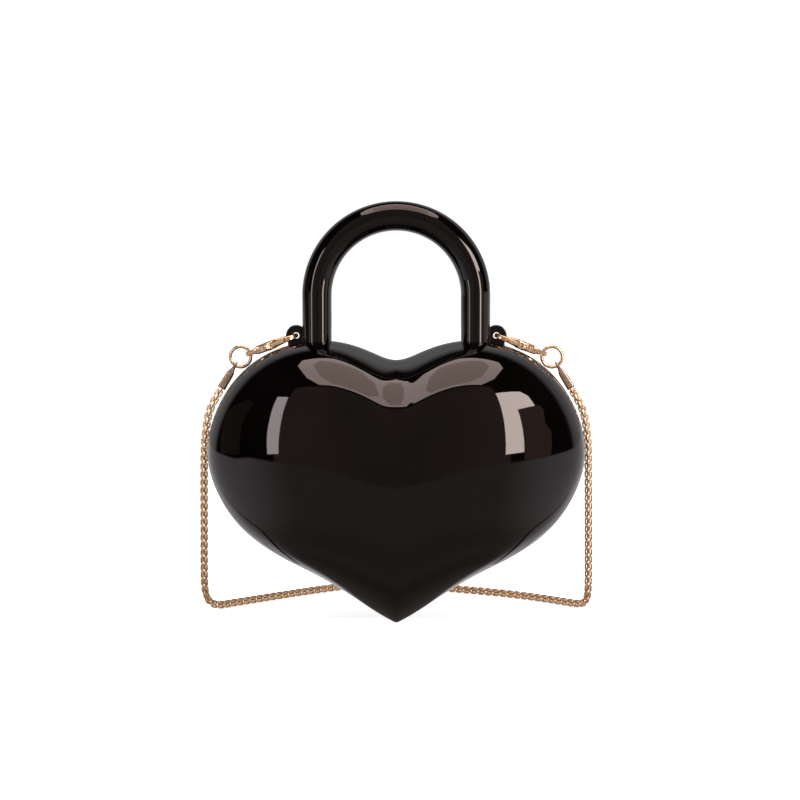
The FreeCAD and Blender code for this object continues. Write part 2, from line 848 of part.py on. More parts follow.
def chain_route():
    """The chain's route, from the left cap over the table behind the body to the right cap."""
    half = Vector(body_width / 2, body_depth / 2, body_height)
    ends = [cap_end, chain_lead_end]
    route = [Vector(-point.x, point.y, point.z) for point in ends]
    route += [Vector(x * half.x, y * half.y, tip_z + z * half.z) for x, y, z in left_hang_shares]
    route += [Vector(x * half.x, y * half.y, tip_z + chain_width / 2) for x, y in lying_shares]
    route += [Vector(x * half.x, y * half.y, tip_z + z * half.z) for x, y, z in right_hang_shares]
    return [*route, *reversed(ends)]


def shoulder_chain():
    """The chain as a round tube along its route."""
    route = chain_route()
    path = cord_path(route)
    radius = chain_width / 2
    section = Part.Wire(Part.makeCircle(radius, route[0], route[1] - route[0]))
    tube = path.makePipeShell([section], True, False)
    expected = math.pi * radius**2 * path.Length
    print("chain length", round(path.Length, 1), "volume over section times length", tube.Volume / expected)
    print("chain route", [tuple(round(value, 2) for value in point) for point in route])
    return tube


def sided(name, shape_of):
    """A left and a right node of one piece, from a function of the side."""
    return {f"{name}_{word}": shape_of(hand) for word, hand in (("left", left), ("right", right))}


def both_hands(shape):
    """A function of the side that gives the shape on the right and its mirror image on the left."""
    return lambda hand: shape if hand == right else mirrored(shape)


def on_strap(shape, tail, way):
    """A function of the side that puts a fitting in its place on the strap."""
    return lambda hand: fitted(shape, tail, way, hand)


nodes = {
    "front_shell": front_shell(),
    "rear_shell": rear_shell(),
    "front_liner": liner(front),
    "rear_liner": liner(back),
    "handle": handle(),
    "handle_screws": Part.makeCompound(handle_screws()),
    "handle_washers": Part.makeCompound(handle_washers()),
    "lug_screws": Part.makeCompound(lug_screws()),
    "hinge_pin": hinge_pin(),
    "front_magnets": Part.makeCompound([magnet(hand, front) for hand in (right, left)]),
    "rear_magnets": Part.makeCompound([magnet(hand, back) for hand in (right, left)]),
    "shoulder_chain": shoulder_chain(),
    **sided("chain_lug", both_hands(chain_lug())),
    **sided("jump_ring", jump_ring),
    **sided("chain_cap", on_strap(chain_cap(), cap_tail, cap_way)),
    **sided("clasp_body", on_strap(clasp_body(), clasp_tail, hook_way)),
    **sided("clasp_trigger", on_strap(clasp_trigger(), clasp_tail, hook_way)),
    **sided("trigger_pin", on_strap(trigger_pin(), clasp_tail, hook_way)),
    **sided("trigger_spring", on_strap(trigger_spring(), clasp_tail, hook_way)),
}

os.makedirs("parts", exist_ok=True)
for name, shape in nodes.items():
    shape.exportStep(f"parts/{name}.step")
    print(name, len(shape.Solids), "solid", round(shape.Volume, 1), "valid" if shape.isValid() else "NOT VALID")
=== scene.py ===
"""Looks of a heart shaped purse: glossy black half shells, an arched handle and a rose-gold chain strap."""
import logging
import math
from collections.abc import Callable, Sequence
from dataclasses import dataclass, field
from enum import Enum

import bmesh
import bpy
import numpy as np
from mathutils import Matrix, Vector


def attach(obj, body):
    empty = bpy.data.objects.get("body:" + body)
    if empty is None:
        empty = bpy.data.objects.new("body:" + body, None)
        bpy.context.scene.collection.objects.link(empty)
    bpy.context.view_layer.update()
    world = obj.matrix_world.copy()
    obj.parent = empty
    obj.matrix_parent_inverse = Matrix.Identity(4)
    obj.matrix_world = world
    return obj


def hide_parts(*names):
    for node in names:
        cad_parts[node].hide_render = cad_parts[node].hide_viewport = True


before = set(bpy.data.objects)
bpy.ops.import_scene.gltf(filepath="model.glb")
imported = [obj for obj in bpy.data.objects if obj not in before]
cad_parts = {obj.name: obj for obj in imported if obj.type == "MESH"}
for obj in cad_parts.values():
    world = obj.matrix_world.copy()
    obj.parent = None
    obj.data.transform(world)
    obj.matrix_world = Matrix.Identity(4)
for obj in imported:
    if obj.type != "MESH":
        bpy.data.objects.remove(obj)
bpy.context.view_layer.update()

Piece = bpy.types.Object
Finish = bpy.types.Material
Socket = bpy.types.NodeSocket
Pair = tuple[float, float]
Place = tuple[float, float, float]
Colour = tuple[float, float, float]
Corners = tuple[Pair, ...]

log = logging.getLogger("purse")
MM = 0.001
TIP_Z = -0.2059
LEG_X = 0.0398
LEG_END_Z = -0.0773
STRAP_Y = 0.0023
BODY_MIDDLE: Place = (0.0, 0.0, -0.1339)
QUARTER_TURN = math.pi / 2
FULL_TURN = 2 * math.pi
JOIN_DISTANCE = 1e-7
ROD_STEPS = 96
EDGE_STEPS = 3
NOISE_RANGE: Pair = (0.3, 0.7)


class Side(Enum):
    """The two halves of the body, with their way along Y."""

    FRONT = -1
    REAR = 1

    def named(self, stem: str) -> str:
        """The name of this half's piece."""
        return f"{self.name.lower()}_{stem}"


class Hand(Enum):
    """The two ends of the strap, with their way along X."""

    LEFT = -1
    RIGHT = 1

    def named(self, stem: str) -> str:
        """The name of this end's piece of a pair."""
        return f"{stem}_{self.name.lower()}"


class Cut(Enum):
    """The ways to combine two closed meshes."""

    AWAY = "DIFFERENCE"
    COMMON = "INTERSECT"


BODY_OF_SIDE = {Side.FRONT: "front_lid", Side.REAR: "purse"}
TRIGGER_BODY = {Hand.LEFT: "left_trigger", Hand.RIGHT: "right_trigger"}


# Meshes


def add_object(name: str, data: bpy.types.ID) -> Piece:
    """Put a mesh, curve, lamp or camera in the scene.

    Args:
        name: The object's name.
        data: What it shows, in metres in the shared frame.

    Returns:
        The new object.
    """
    data.name = name
    item = bpy.data.objects.new(name, data)
    bpy.context.scene.collection.objects.link(item)
    return item


def mesh_object(name: str, points: np.ndarray, faces: Sequence[Sequence[int]]) -> Piece:
    """Make an object from points and faces.

    Args:
        name: The object's name.
        points: Its points, one row each, in metres.
        faces: The numbers of each face's points.

    Returns:
        The new object, with all its faces turned outwards.
    """
    mesh = bpy.data.meshes.new(name)
    mesh.from_pydata([tuple(point) for point in points], [], [tuple(face) for face in faces])
    item = add_object(name, mesh)
    face_outwards(item)
    return item


def flat_object(name: str, points: Sequence[Sequence[float]]) -> Piece:
    """Make an object of one flat face.

    Args:
        name: The object's name.
        points: The corners of the face in order.

    Returns:
        The new object.
    """
    mesh = bpy.data.meshes.new(name)
    mesh.from_pydata([tuple(point) for point in points], [], [tuple(range(len(points)))])
    return add_object(name, mesh)


def shaped_mesh(item: Piece) -> bpy.types.Mesh:
    """A new mesh of an object as its modifiers or its curve shape it."""
    bpy.context.view_layer.update()
    return bpy.data.meshes.new_from_object(item.evaluated_get(bpy.context.evaluated_depsgraph_get()))


def face_outwards(item: Piece) -> None:
    """Join points that coincide and turn all faces outwards.

    Args:
        item: The object whose mesh is changed.
    """
    edit = bmesh.new()
    edit.from_mesh(item.data)
    bmesh.ops.remove_doubles(edit, verts=edit.verts, dist=JOIN_DISTANCE)
    bmesh.ops.recalc_face_normals(edit, faces=edit.faces)
    edit.to_mesh(item.data)
    edit.free()


def shade_smooth(item: Piece, crease: float) -> None:
    """Shade smoothly across all edges but the sharp ones.

    Args:
        item: The object to shade.
        crease: The angle in degrees from which an edge is sharp.
    """
    edit = bmesh.new()
    edit.from_mesh(item.data)
    for face in edit.faces:
        face.smooth = True
    for edge in edit.edges:
        edge.smooth = len(edge.link_faces) == 2 and edge.calc_face_angle(0.0) < math.radians(crease)
    edit.to_mesh(item.data)
    edit.free()


def combine(item: Piece, tool: Piece, way: Cut) -> None:
    """Combine a closed mesh with a tool mesh, and remove the tool.

    Args:
        item: The object that is changed.
        tool: The closed mesh that it is combined with.
        way: How they are combined.
    """
    step = item.modifiers.new("combine", "BOOLEAN")
    step.operation = way.value
    step.solver = "EXACT"
    step.object = tool
    mesh = shaped_mesh(item)
    item.modifiers.clear()
    before = item.data
    item.data = mesh
    bpy.data.meshes.remove(before)
    bpy.data.meshes.remove(tool.data)


def block(name: str, low: Sequence[float], high: Sequence[float]) -> Piece:
    """Make a box, as a tool for cutting.

    Args:
        name: The object's name.
        low: Its lowest corner.
        high: Its highest corner.

    Returns:
        The box.
    """
    spans = list(zip(low, high))
    points = np.array([(x, y, z) for x in spans[0] for y in spans[1] for z in spans[2]])
    faces = [(0, 1, 3, 2), (4, 6, 7, 5), (0, 4, 5, 1), (2, 3, 7, 6), (0, 2, 6, 4), (1, 5, 7, 3)]
    return mesh_object(name, points, faces)


def ring_faces(rows: int, count: int, ends: bool = False) -> list[tuple[int, ...]]:
    """The quads between closed rows of points.

    Args:
        rows: How many rows there are.
        count: How many points a row has.
        ends: Whether the first and the last row are filled with a face each.

    Returns:
        The point numbers of each face.
    """
    faces: list[tuple[int, ...]] = []
    last = (rows - 1) * count
    for start in range(0, last, count):
        for place in range(count):
            after = (place + 1) % count
            faces.append((start + place, start + after, start + count + after, start + count + place))
    if ends:
        faces += [tuple(range(count)), tuple(range(last, last + count))]
    return faces


def lathe(name: str, profile: Sequence[Pair], base: Sequence[float], axis: Sequence[float],
          count: int = 48) -> Piece:
    """Turn a profile about an axis.

    Args:
        name: The object's name.
        profile: Radius and place along the axis of each point; the first and last ones are on the axis.
        base: The point that places are counted from.
        axis: The way of the axis.
        count: How many points go round.

    Returns:
        The closed, turned object.
    """
    turn = Vector((0, 0, 1)).rotation_difference(Vector(axis)).to_matrix()
    angles = np.linspace(0, FULL_TURN, count, endpoint=False)
    rows = [np.stack([r * np.cos(angles), r * np.sin(angles), np.full(count, z)], 1) for r, z in profile]
    points = np.concatenate(rows) @ np.array(turn).T + np.array(base)
    return mesh_object(name, points, ring_faces(len(rows), count))


def rod(name: str, radius: float, span: Pair, base: Sequence[float], axis: Sequence[float]) -> Piece:
    """Make a round rod, as a tool for cutting.

    Args:
        name: The object's name.
        radius: Its radius.
        span: Where it starts and ends along its axis.
        base: The point that these places are counted from.
        axis: The way of the axis.

    Returns:
        The rod.
    """
    low, high = span
    return lathe(name, [(0, low), (radius, low), (radius, high), (0, high)], base, axis, ROD_STEPS)


def sweep(path: np.ndarray, across: Sequence[float], section: np.ndarray,
          closed: bool) -> tuple[np.ndarray, list]:
    """Carry a section along a path.

    Args:
        path: The points of the path.
        across: The way of the section's first direction, which is made square to the path.
        section: The section's points in its two directions.
        closed: Whether the path is a loop.

    Returns:
        The points and the faces of the swept form.
    """
    if closed:
        along = np.roll(path, -1, 0) - np.roll(path, 1, 0)
    else:
        along = np.gradient(path, axis=0)
    along /= np.linalg.norm(along, axis=1, keepdims=True)
    way = np.array(across, float)
    first = way - (way * along).sum(1, keepdims=True) * along
    first /= np.linalg.norm(first, axis=1, keepdims=True)
    second = np.cross(along, first)
    points = path[:, None] + first[:, None] * section[None, :, :1] + second[:, None] * section[None, :, 1:]
    count = len(section)
    faces = ring_faces(len(path), count, not closed)
    if closed:
        last = (len(path) - 1) * count
        for place in range(count):
            after = (place + 1) % count
            faces.append((last + place, last + after, after, place))
    return points.reshape(-1, 3), faces


def round_section(radius: float, count: int, squareness: float = 2.0,
                  second: float | None = None) -> np.ndarray:
    """The points of a round or rounded-square section.

    Args:
        radius: Half the size in the first direction.
        count: How many points it has.
        squareness: 2 for an oval, more for squarer forms.
        second: Half the size in the second direction, where it differs.

    Returns:
        One row of two numbers for each point.
    """
    angles = np.linspace(0, FULL_TURN, count, endpoint=False)
    cosine, sine = np.cos(angles), np.sin(angles)
    power = 2 / squareness
    shape = np.stack([np.sign(cosine) * np.abs(cosine) ** power, np.sign(sine) * np.abs(sine) ** power], 1)
    return shape * np.array([radius, radius if second is None else second])


def smooth_loop(points: Sequence[Pair], steps: int) -> np.ndarray:
    """A smooth closed line through points in a plane.

    Args:
        points: The points in order.
        steps: How many points stand for each span.

    Returns:
        The points of the line, one row each.
    """
    spots = np.array(points, float)
    before, after, next_after = np.roll(spots, 1, 0), np.roll(spots, -1, 0), np.roll(spots, -2, 0)
    rows = []
    for share in np.arange(steps) / steps:
        square, cube = share * share, share ** 3
        rows.append(0.5 * (2 * spots + (after - before) * share
                           + (2 * before - 5 * spots + 4 * after - next_after) * square
                           + (3 * spots - before - 3 * after + next_after) * cube))
    return np.stack(rows, 1).reshape(-1, 2)


def circle_loop(radius: float, count: int, centre: Pair = (0.0, 0.0)) -> np.ndarray:
    """The points of a circle in a plane."""
    return round_section(radius, count) + np.array(centre)


def arc_points(radius: float, turns: np.ndarray, centre: Pair = (0.0, 0.0)) -> np.ndarray:
    """The points of an arc in a plane, at angles in radians."""
    return radius * np.stack([np.cos(turns), np.sin(turns)], 1) + np.array(centre)


def in_space(points: np.ndarray) -> np.ndarray:
    """Points of a plane as points in space, at height 0."""
    return np.pad(points, ((0, 0), (0, 1)))


def curve_mesh(curve: bpy.types.Curve) -> bpy.types.Mesh:
    """Turn a curve into a mesh, and remove the curve.

    Args:
        curve: The curve.

    Returns:
        The new mesh.
    """
    source = add_object(curve.name, curve)
    mesh = shaped_mesh(source)
    bpy.data.objects.remove(source)
    bpy.data.curves.remove(curve)
    return mesh


def rounded_plate(name: str, loops: Sequence[np.ndarray], thickness: float, edge: float) -> Piece:
    """A plate with rounded edges, even about the XY plane.

    Args:
        name: The object's name.
        loops: Its outline and its holes, as points in the plane.
        thickness: How thick it is.
        edge: The radius of its edges.

    Returns:
        The plate as a mesh object.
    """
    curve = bpy.data.curves.new(name, "CURVE")
    curve.dimensions = "2D"
    curve.fill_mode = "BOTH"
    curve.extrude = thickness / 2 - edge
    curve.bevel_depth = edge
    curve.bevel_resolution = EDGE_STEPS
    curve.offset = -edge
    for loop in loops:
        spline = curve.splines.new("POLY")
        spline.points.add(len(loop) - 1)
        for point, (x, y) in zip(spline.points, loop):
            point.co = (x, y, 0, 1)
        spline.use_cyclic_u = True
    item = add_object(name, curve_mesh(curve))
    face_outwards(item)
    return item


def move_points(item: Piece, change: Callable[[np.ndarray], np.ndarray]) -> None:
    """Move a mesh's points.

    Args:
        item: The object whose mesh is changed.
        change: Gives the new points, one row each, for all the old ones.
    """
    points = np.empty(len(item.data.vertices) * 3)
    item.data.vertices.foreach_get("co", points)
    moved = np.ascontiguousarray(change(points.reshape(-1, 3)))
    item.data.vertices.foreach_set("co", moved.ravel())
    item.data.update()


def dress(item: Piece, material: Finish) -> None:
    """Give an object one material all over."""
    item.data.materials.clear()
    item.data.materials.append(material)


def settle(item: Piece, material: Finish, body: str, slot: str, node: str | None = None,
           crease: float = 38.0) -> Piece:
    """Shade and dress a piece, and tie it to the frame.

    Args:
        item: The piece.
        material: Its finish.
        body: The body that it rides on.
        slot: Its material's slot in the record; not used.
        node: The node that it stands for, if any.
        crease: The angle in degrees from which an edge is sharp.

    Returns:
        The same piece.
    """
    shade_smooth(item, crease)
    dress(item, material)
    if node is not None:
        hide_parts(node)
    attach(item, body)
    return item


# Finishes


class Nodes:
    """A node tree, and short ways to add to it."""

    def __init__(self, tree: bpy.types.NodeTree) -> None:
        """Take up a tree."""
        self.tree = tree

    def node(self, kind: str, **values: object) -> bpy.types.Node:
        """Add a node.

        Args:
            kind: Its type.
            values: What its sockets or, in lower case, its own fields are set to.

        Returns:
            The new node.
        """
        item = self.tree.nodes.new(kind)
        for name, value in values.items():
            label = name.replace("_", " ")
            if label in item.inputs:
                item.inputs[label].default_value = value
            else:
                setattr(item, name, value)
        return item

    def join(self, source: Socket, target: Socket) -> None:
        """Link two sockets."""
        self.tree.links.new(source, target)

    def maths(self, kind: str, *terms: Socket | float) -> Socket:
        """Work out a number.

        Args:
            kind: The way of working it out.
            terms: The sockets or numbers that it is worked out from.

        Returns:
            The socket with the number.
        """
        item = self.node("ShaderNodeMath", operation=kind)
        for socket, value in zip(item.inputs, terms):
            if isinstance(value, bpy.types.NodeSocket):
                self.join(value, socket)
            else:
                socket.default_value = value
        return item.outputs[0]

    def ramp(self, value: Socket, low: float, high: float) -> Socket:
        """A soft step of a value, from 0 at low to 1 at high."""
        item = self.node("ShaderNodeMapRange", interpolation_type="SMOOTHSTEP", From_Min=low, From_Max=high)
        self.join(value, item.inputs["Value"])
        return item.outputs["Result"]

    def mix(self, share: Socket, first: Socket | Colour, second: Socket | Colour) -> Socket:
        """Mix two colours.

        Args:
            share: The share of the second one.
            first: The first colour, or its socket.
            second: The second colour, or its socket.

        Returns:
            The socket with the mixed colour.
        """
        item = self.node("ShaderNodeMix", data_type="RGBA")
        self.join(share, item.inputs[0])
        for socket, value in ((item.inputs[6], first), (item.inputs[7], second)):
            if isinstance(value, bpy.types.NodeSocket):
                self.join(value, socket)
            else:
                socket.default_value = (*value, 1)
        return item.outputs[2]


class Shader(Nodes):
    """A material with one Principled shader."""

    def __init__(self, name: str) -> None:
        """Start the material.

        Args:
            name: Its name.
        """
        self.material = bpy.data.materials.new(name)
        self.material.use_nodes = True
        super().__init__(self.material.node_tree)
        self.main = self.tree.nodes["Principled BSDF"]

    def set_main(self, **values: object) -> None:
        """Set sockets of the main shader, by a number, a colour or another socket."""
        for name, value in values.items():
            socket = self.main.inputs[name.replace("_", " ")]
            if isinstance(value, bpy.types.NodeSocket):
                self.join(value, socket)
            else:
                socket.default_value = value

    def noise(self, scale: float, detail: float = 3.0, stretch: Place = (1, 1, 1)) -> Socket:
        """A noise fixed to the piece.

        Args:
            scale: How many features it has to the metre.
            detail: How many finer layers it has.
            stretch: How much denser it is along each axis.

        Returns:
            The socket with its value, from 0 to 1.
        """
        place = self.node("ShaderNodeTexCoord")
        mapping = self.node("ShaderNodeMapping", Scale=stretch)
        texture = self.node("ShaderNodeTexNoise", Scale=scale, Detail=detail)
        self.join(place.outputs["Object"], mapping.inputs["Vector"])
        self.join(mapping.outputs["Vector"], texture.inputs["Vector"])
        return texture.outputs["Fac"]

    def between(self, source: Socket, low: float, high: float) -> Socket:
        """Bring a noise value from its usual range to a new one.

        Args:
            source: The noise.
            low: The new range's low end.
            high: The new range's high end.

        Returns:
            The socket with the new value.
        """
        least, most = NOISE_RANGE
        item = self.node("ShaderNodeMapRange", From_Min=least, From_Max=most, To_Min=low, To_Max=high)
        self.join(source, item.inputs["Value"])
        return item.outputs["Result"]

    def blend(self, source: Socket, first: Colour, second: Colour) -> Socket:
        """A colour between two colours, by a noise value."""
        return self.mix(self.between(source, 0, 1), first, second)

    def bump(self, source: Socket, height: float, under: Socket | None = None) -> Socket:
        """Raise the surface.

        Args:
            source: The noise that it follows.
            height: How high it rises, in metres.
            under: The bump that it lies over, if any.

        Returns:
            The socket with the surface's way.
        """
        item = self.node("ShaderNodeBump", Strength=1.0, Distance=height)
        self.join(source, item.inputs["Height"])
        if under is not None:
            self.join(under, item.inputs["Normal"])
        return item.outputs["Normal"]


@dataclass(frozen=True)
class Lacquer:
    """High gloss black lacquer over moulded plastic, with the faint waves that polishing leaves."""

    name: str = "gloss_black_lacquer"
    colour: Colour = (0.0008, 0.0006, 0.0005)
    worn_colour: Colour = (0.0016, 0.0013, 0.0012)
    wear_scale: float = 60.0
    gloss: Pair = (0.018, 0.04)
    gloss_scale: float = 900.0
    wave_size: float = 0.045
    wave_height: float = 0.00005
    peel_size: float = 0.0022
    peel_height: float = 0.0000004
    ior: float = 1.5

    def material(self) -> Finish:
        """Make the material.

        Returns:
            The material.
        """
        shader = Shader(self.name)
        wave = shader.bump(shader.noise(1 / self.wave_size, 0.0), self.wave_height)
        peel = shader.bump(shader.noise(1 / self.peel_size, 2.0), self.peel_height, wave)
        shader.set_main(
            IOR=self.ior,
            Base_Color=shader.blend(shader.noise(self.wear_scale), self.colour, self.worn_colour),
            Roughness=shader.between(shader.noise(self.gloss_scale, 5.0), *self.gloss),
            Normal=peel)
        return shader.material


@dataclass(frozen=True)
class Plating:
    """Polished metal plating with fine rubbed lines and a little tarnish."""

    name: str
    colour: Colour
    tarnish: Colour
    gloss: Pair = (0.12, 0.24)
    metal: float = 1.0
    tarnish_scale: float = 700.0
    gloss_scale: float = 2500.0
    line_scale: float = 3000.0
    line_stretch: Place = (1.0, 1.0, 0.15)
    line_height: float = 0.000004

    def material(self) -> Finish:
        """Make the material.

        Returns:
            The material.
        """
        shader = Shader(self.name)
        lines = shader.noise(self.line_scale, 2.0, self.line_stretch)
        shader.set_main(
            Metallic=self.metal,
            Base_Color=shader.blend(shader.noise(self.tarnish_scale, 4.0), self.colour, self.tarnish),
            Roughness=shader.between(shader.noise(self.gloss_scale), *self.gloss),
            Normal=shader.bump(lines, self.line_height))
        return shader.material


@dataclass(frozen=True)
class Flock:
    """Short black flock, with a soft sheen and the marks of where it was brushed."""

    name: str = "black_flock"
    colour: Colour = (0.012, 0.011, 0.011)
    brushed: Colour = (0.026, 0.024, 0.024)
    mark_scale: float = 55.0
    mark_stretch: Place = (1.0, 1.0, 0.4)
    pile_size: float = 0.00035
    pile_height: float = 0.00012
    roughness: float = 0.92
    sheen: float = 0.35
    sheen_roughness: float = 0.4

    def material(self) -> Finish:
        """Make the material.

        Returns:
            The material.
        """
        shader = Shader(self.name)
        marks = shader.noise(self.mark_scale, 4.0, self.mark_stretch)
        pile = shader.noise(1 / self.pile_size, 2.0)
        shader.set_main(
            Roughness=self.roughness,
            Sheen_Weight=self.sheen,
            Sheen_Roughness=self.sheen_roughness,
            Base_Color=shader.blend(marks, self.colour, self.brushed),
            Normal=shader.bump(pile, self.pile_height))
        return shader.material


class Palette:
    """The finishes of the purse."""

    def __init__(self) -> None:
        """Make every finish once."""
        rose, rose_tarnish = (0.90, 0.67, 0.45), (0.76, 0.54, 0.34)
        # The chain caps get a darker copy of the rose gold: painted shade for the shade that they sit in.
        shaded_rose, shaded_rose_tarnish = (0.50, 0.36, 0.27), (0.36, 0.25, 0.18)
        zinc, zinc_tarnish = (0.56, 0.56, 0.57), (0.44, 0.44, 0.45)
        nickel, nickel_tarnish = (0.66, 0.64, 0.61), (0.52, 0.50, 0.48)
        self.black = Lacquer().material()
        self.gold = Plating("rose_gold_plating", rose, rose_tarnish, metal=0.94).material()
        self.shaded_gold = Plating("shaded_gold_plating", shaded_rose, shaded_rose_tarnish, metal=0.94).material()
        self.steel = Plating("zinc_plating", zinc, zinc_tarnish, (0.25, 0.4)).material()
        self.nickel = Plating("nickel_plating", nickel, nickel_tarnish, (0.15, 0.3)).material()
        self.flock = Flock().material()


# Body


@dataclass(frozen=True)
class ClampedSpline:
    """A smooth line through given points with a given way at each end."""

    points: np.ndarray
    start: Pair
    end: Pair

    def places(self) -> np.ndarray:
        """The distance along the points at which each one lies."""
        return np.concatenate([[0.0], np.cumsum(np.linalg.norm(np.diff(self.points, axis=0), axis=1))])

    def bends(self) -> np.ndarray:
        """Work out how the line bends.

        Returns:
            The second derivatives at the points.
        """
        spans = np.diff(self.places())
        count = len(self.points)
        slopes = np.diff(self.points, axis=0) / spans[:, None]
        system = np.zeros((count, count))
        known = np.zeros((count, 2))
        system[0, :2] = 2 * spans[0], spans[0]
        system[-1, -2:] = spans[-1], 2 * spans[-1]
        known[0] = 6 * (slopes[0] - np.array(self.start))
        known[-1] = 6 * (np.array(self.end) - slopes[-1])
        for row in range(1, count - 1):
            system[row, row - 1:row + 2] = spans[row - 1], 2 * (spans[row - 1] + spans[row]), spans[row]
            known[row] = 6 * (slopes[row] - slopes[row - 1])
        return np.linalg.solve(system, known)

    def at(self, distances: np.ndarray) -> np.ndarray:
        """Follow the line.

        Args:
            distances: Distances along it.

        Returns:
            The points at these distances, one row each.
        """
        places, bends = self.places(), self.bends()
        span = np.clip(np.searchsorted(places, distances, "right") - 1, 0, len(places) - 2)
        size = (places[span + 1] - places[span])[:, None]
        left = (places[span + 1] - distances)[:, None]
        past = (distances - places[span])[:, None]
        return (bends[span] * left ** 3 / (6 * size) + bends[span + 1] * past ** 3 / (6 * size)
                + (self.points[span] / size - bends[span] * size / 6) * left
                + (self.points[span + 1] / size - bends[span + 1] * size / 6) * past)


@dataclass(frozen=True)
class HeartForm:
    """The heart's outline and the swell of its halves, as in the solids."""

    half_width: float = 0.095
    height: float = 0.1434
    half_depth: float = 0.050
    tip_radius: float = 0.0026
    flank_angle: float = 31.3
    crown_rise_share: float = 0.504
    crown_width_share: float = 0.926
    crown_height_share: float = 0.462
    heart_share: float = 0.6
    fullness_power: float = 1.4
    swell_power: float = 0.77
    tip_taper: float = 0.87
    tip_power: int = 6
    outline_shares: Corners = (
        (0.0, 0.931), (0.117, 0.9545), (0.235, 0.984), (0.39, 1.0), (0.562, 0.985), (0.761, 0.922),
        (0.908, 0.814), (0.986, 0.690), (1.0, 0.592), (0.9545, 0.478), (0.848, 0.3625), (0.6555, 0.2565),
        (0.4214, 0.1705), (0.2105, 0.0826))
    samples: int = 132
    tip_samples: int = 18
    tip_stretch: float = 0.010
    tip_bunching: float = 1.6
    rim_bunching: float = 1.3
    edge_shares: tuple[float, ...] = (0.25, 0.5, 0.75, 1.0)
    rise_steps: int = 721

    @property
    def crown_z(self) -> float:
        """The height of the crown of each half."""
        return TIP_Z + self.crown_rise_share * self.height

    def outline(self) -> np.ndarray:
        """Draw the closed outline, from the notch over the right side to the tip and back.

        Returns:
            Its points, as rows of x and z.
        """
        points = [(x * self.half_width, TIP_Z + z * self.height) for x, z in self.outline_shares]
        for share in (1.0, 0.5, 0.0):
            turn = math.radians(self.flank_angle) * share
            points.append((self.tip_radius * math.sin(turn), TIP_Z + self.tip_radius * (1 - math.cos(turn))))
        line = ClampedSpline(np.array(points), (1.0, 0.0), (-1.0, 0.0))
        length = line.places()[-1]
        near_tip = 1 - (1 - np.arange(1, self.tip_samples + 1) / self.tip_samples) ** self.tip_bunching
        right = line.at(np.concatenate([
            np.linspace(0, length - self.tip_stretch, self.samples),
            length - self.tip_stretch * (1 - near_tip)]))
        right[0, 0] = right[-1, 0] = 0.0
        left = right[-2:0:-1] * np.array([-1.0, 1.0])
        return np.concatenate([right, left])

    def radii(self) -> tuple[np.ndarray, np.ndarray, np.ndarray]:
        """Draw rays from the crown to the outline's points.

        Returns:
            The ways of the rays, and along each one the distances of the inner oval and of the outline.
        """
        out = self.outline() - np.array([0.0, self.crown_z])
        reach = np.linalg.norm(out, axis=1)
        rays = out / reach[:, None]
        half_sizes = self.crown_width_share * self.half_width, self.crown_height_share * self.height
        oval = 1 / np.hypot(rays[:, 0] / half_sizes[0], rays[:, 1] / half_sizes[1])
        return rays, oval + self.heart_share * (reach - oval), reach

    def spread(self, rise: float | np.ndarray, oval: float | np.ndarray, reach: float | np.ndarray,
               inset: float) -> np.ndarray:
        """How far from the crown the surface lies along rays, seen from the front.

        Args:
            rise: The angle from the crown, a right angle at the rim.
            oval: The distance of the inner oval along each ray.
            reach: The distance of the outline along each ray.
            inset: How far inside the outer surface.

        Returns:
            The distances.
        """
        return np.sin(rise) * (oval + (reach - oval) * np.sin(rise) ** self.fullness_power - inset)

    def depth(self, rise: float, ray_z: float | np.ndarray, inset: float) -> np.ndarray:
        """How far from the parting plane the surface lies along rays.

        Args:
            rise: The angle from the crown, a right angle at the rim.
            ray_z: How much each ray points up.
            inset: How far inside the outer surface.

        Returns:
            The distances along Y.
        """
        near_tip = ((1 - ray_z) / 2) ** self.tip_power
        taper = self.swell_power * (1 + self.tip_taper * near_tip * math.sin(rise) ** self.fullness_power)
        return (self.half_depth - inset) * max(math.cos(rise), 0.0) ** taper

    def row(self, rise: float, inset: float, side: Side, least: float = 0.0) -> np.ndarray:
        """One level line of a half.

        Args:
            rise: The angle from the crown, a right angle at the rim.
            inset: How far the line lies inside the outer surface.
            side: The half.
            least: The least distance of the line from the parting plane.

        Returns:
            The points of the closed line.
        """
        rays, oval, reach = self.radii()
        out = self.spread(rise, oval, reach, inset)
        depth = np.maximum(self.depth(rise, rays[:, 1], inset), least)
        return np.stack([rays[:, 0] * out, side.value * depth, self.crown_z + rays[:, 1] * out], 1)

    def depth_at(self, x: float, z: float, inset: float) -> float:
        """How far a half reaches from the parting plane at a place seen from the front.

        Args:
            x: The place to the right.
            z: Its height.
            inset: How far inside the outer surface.

        Returns:
            The distance along Y, 0 outside the outline.
        """
        rays, oval, reach = self.radii()
        out = np.array([x, z - self.crown_z])
        far = float(np.linalg.norm(out))
        nearest = int(np.argmax(rays @ (out / far)))
        rises = np.linspace(0, QUARTER_TURN, self.rise_steps)
        rise = float(np.interp(far, self.spread(rises, oval[nearest], reach[nearest], inset), rises))
        return float(self.depth(rise, rays[nearest, 1], inset))

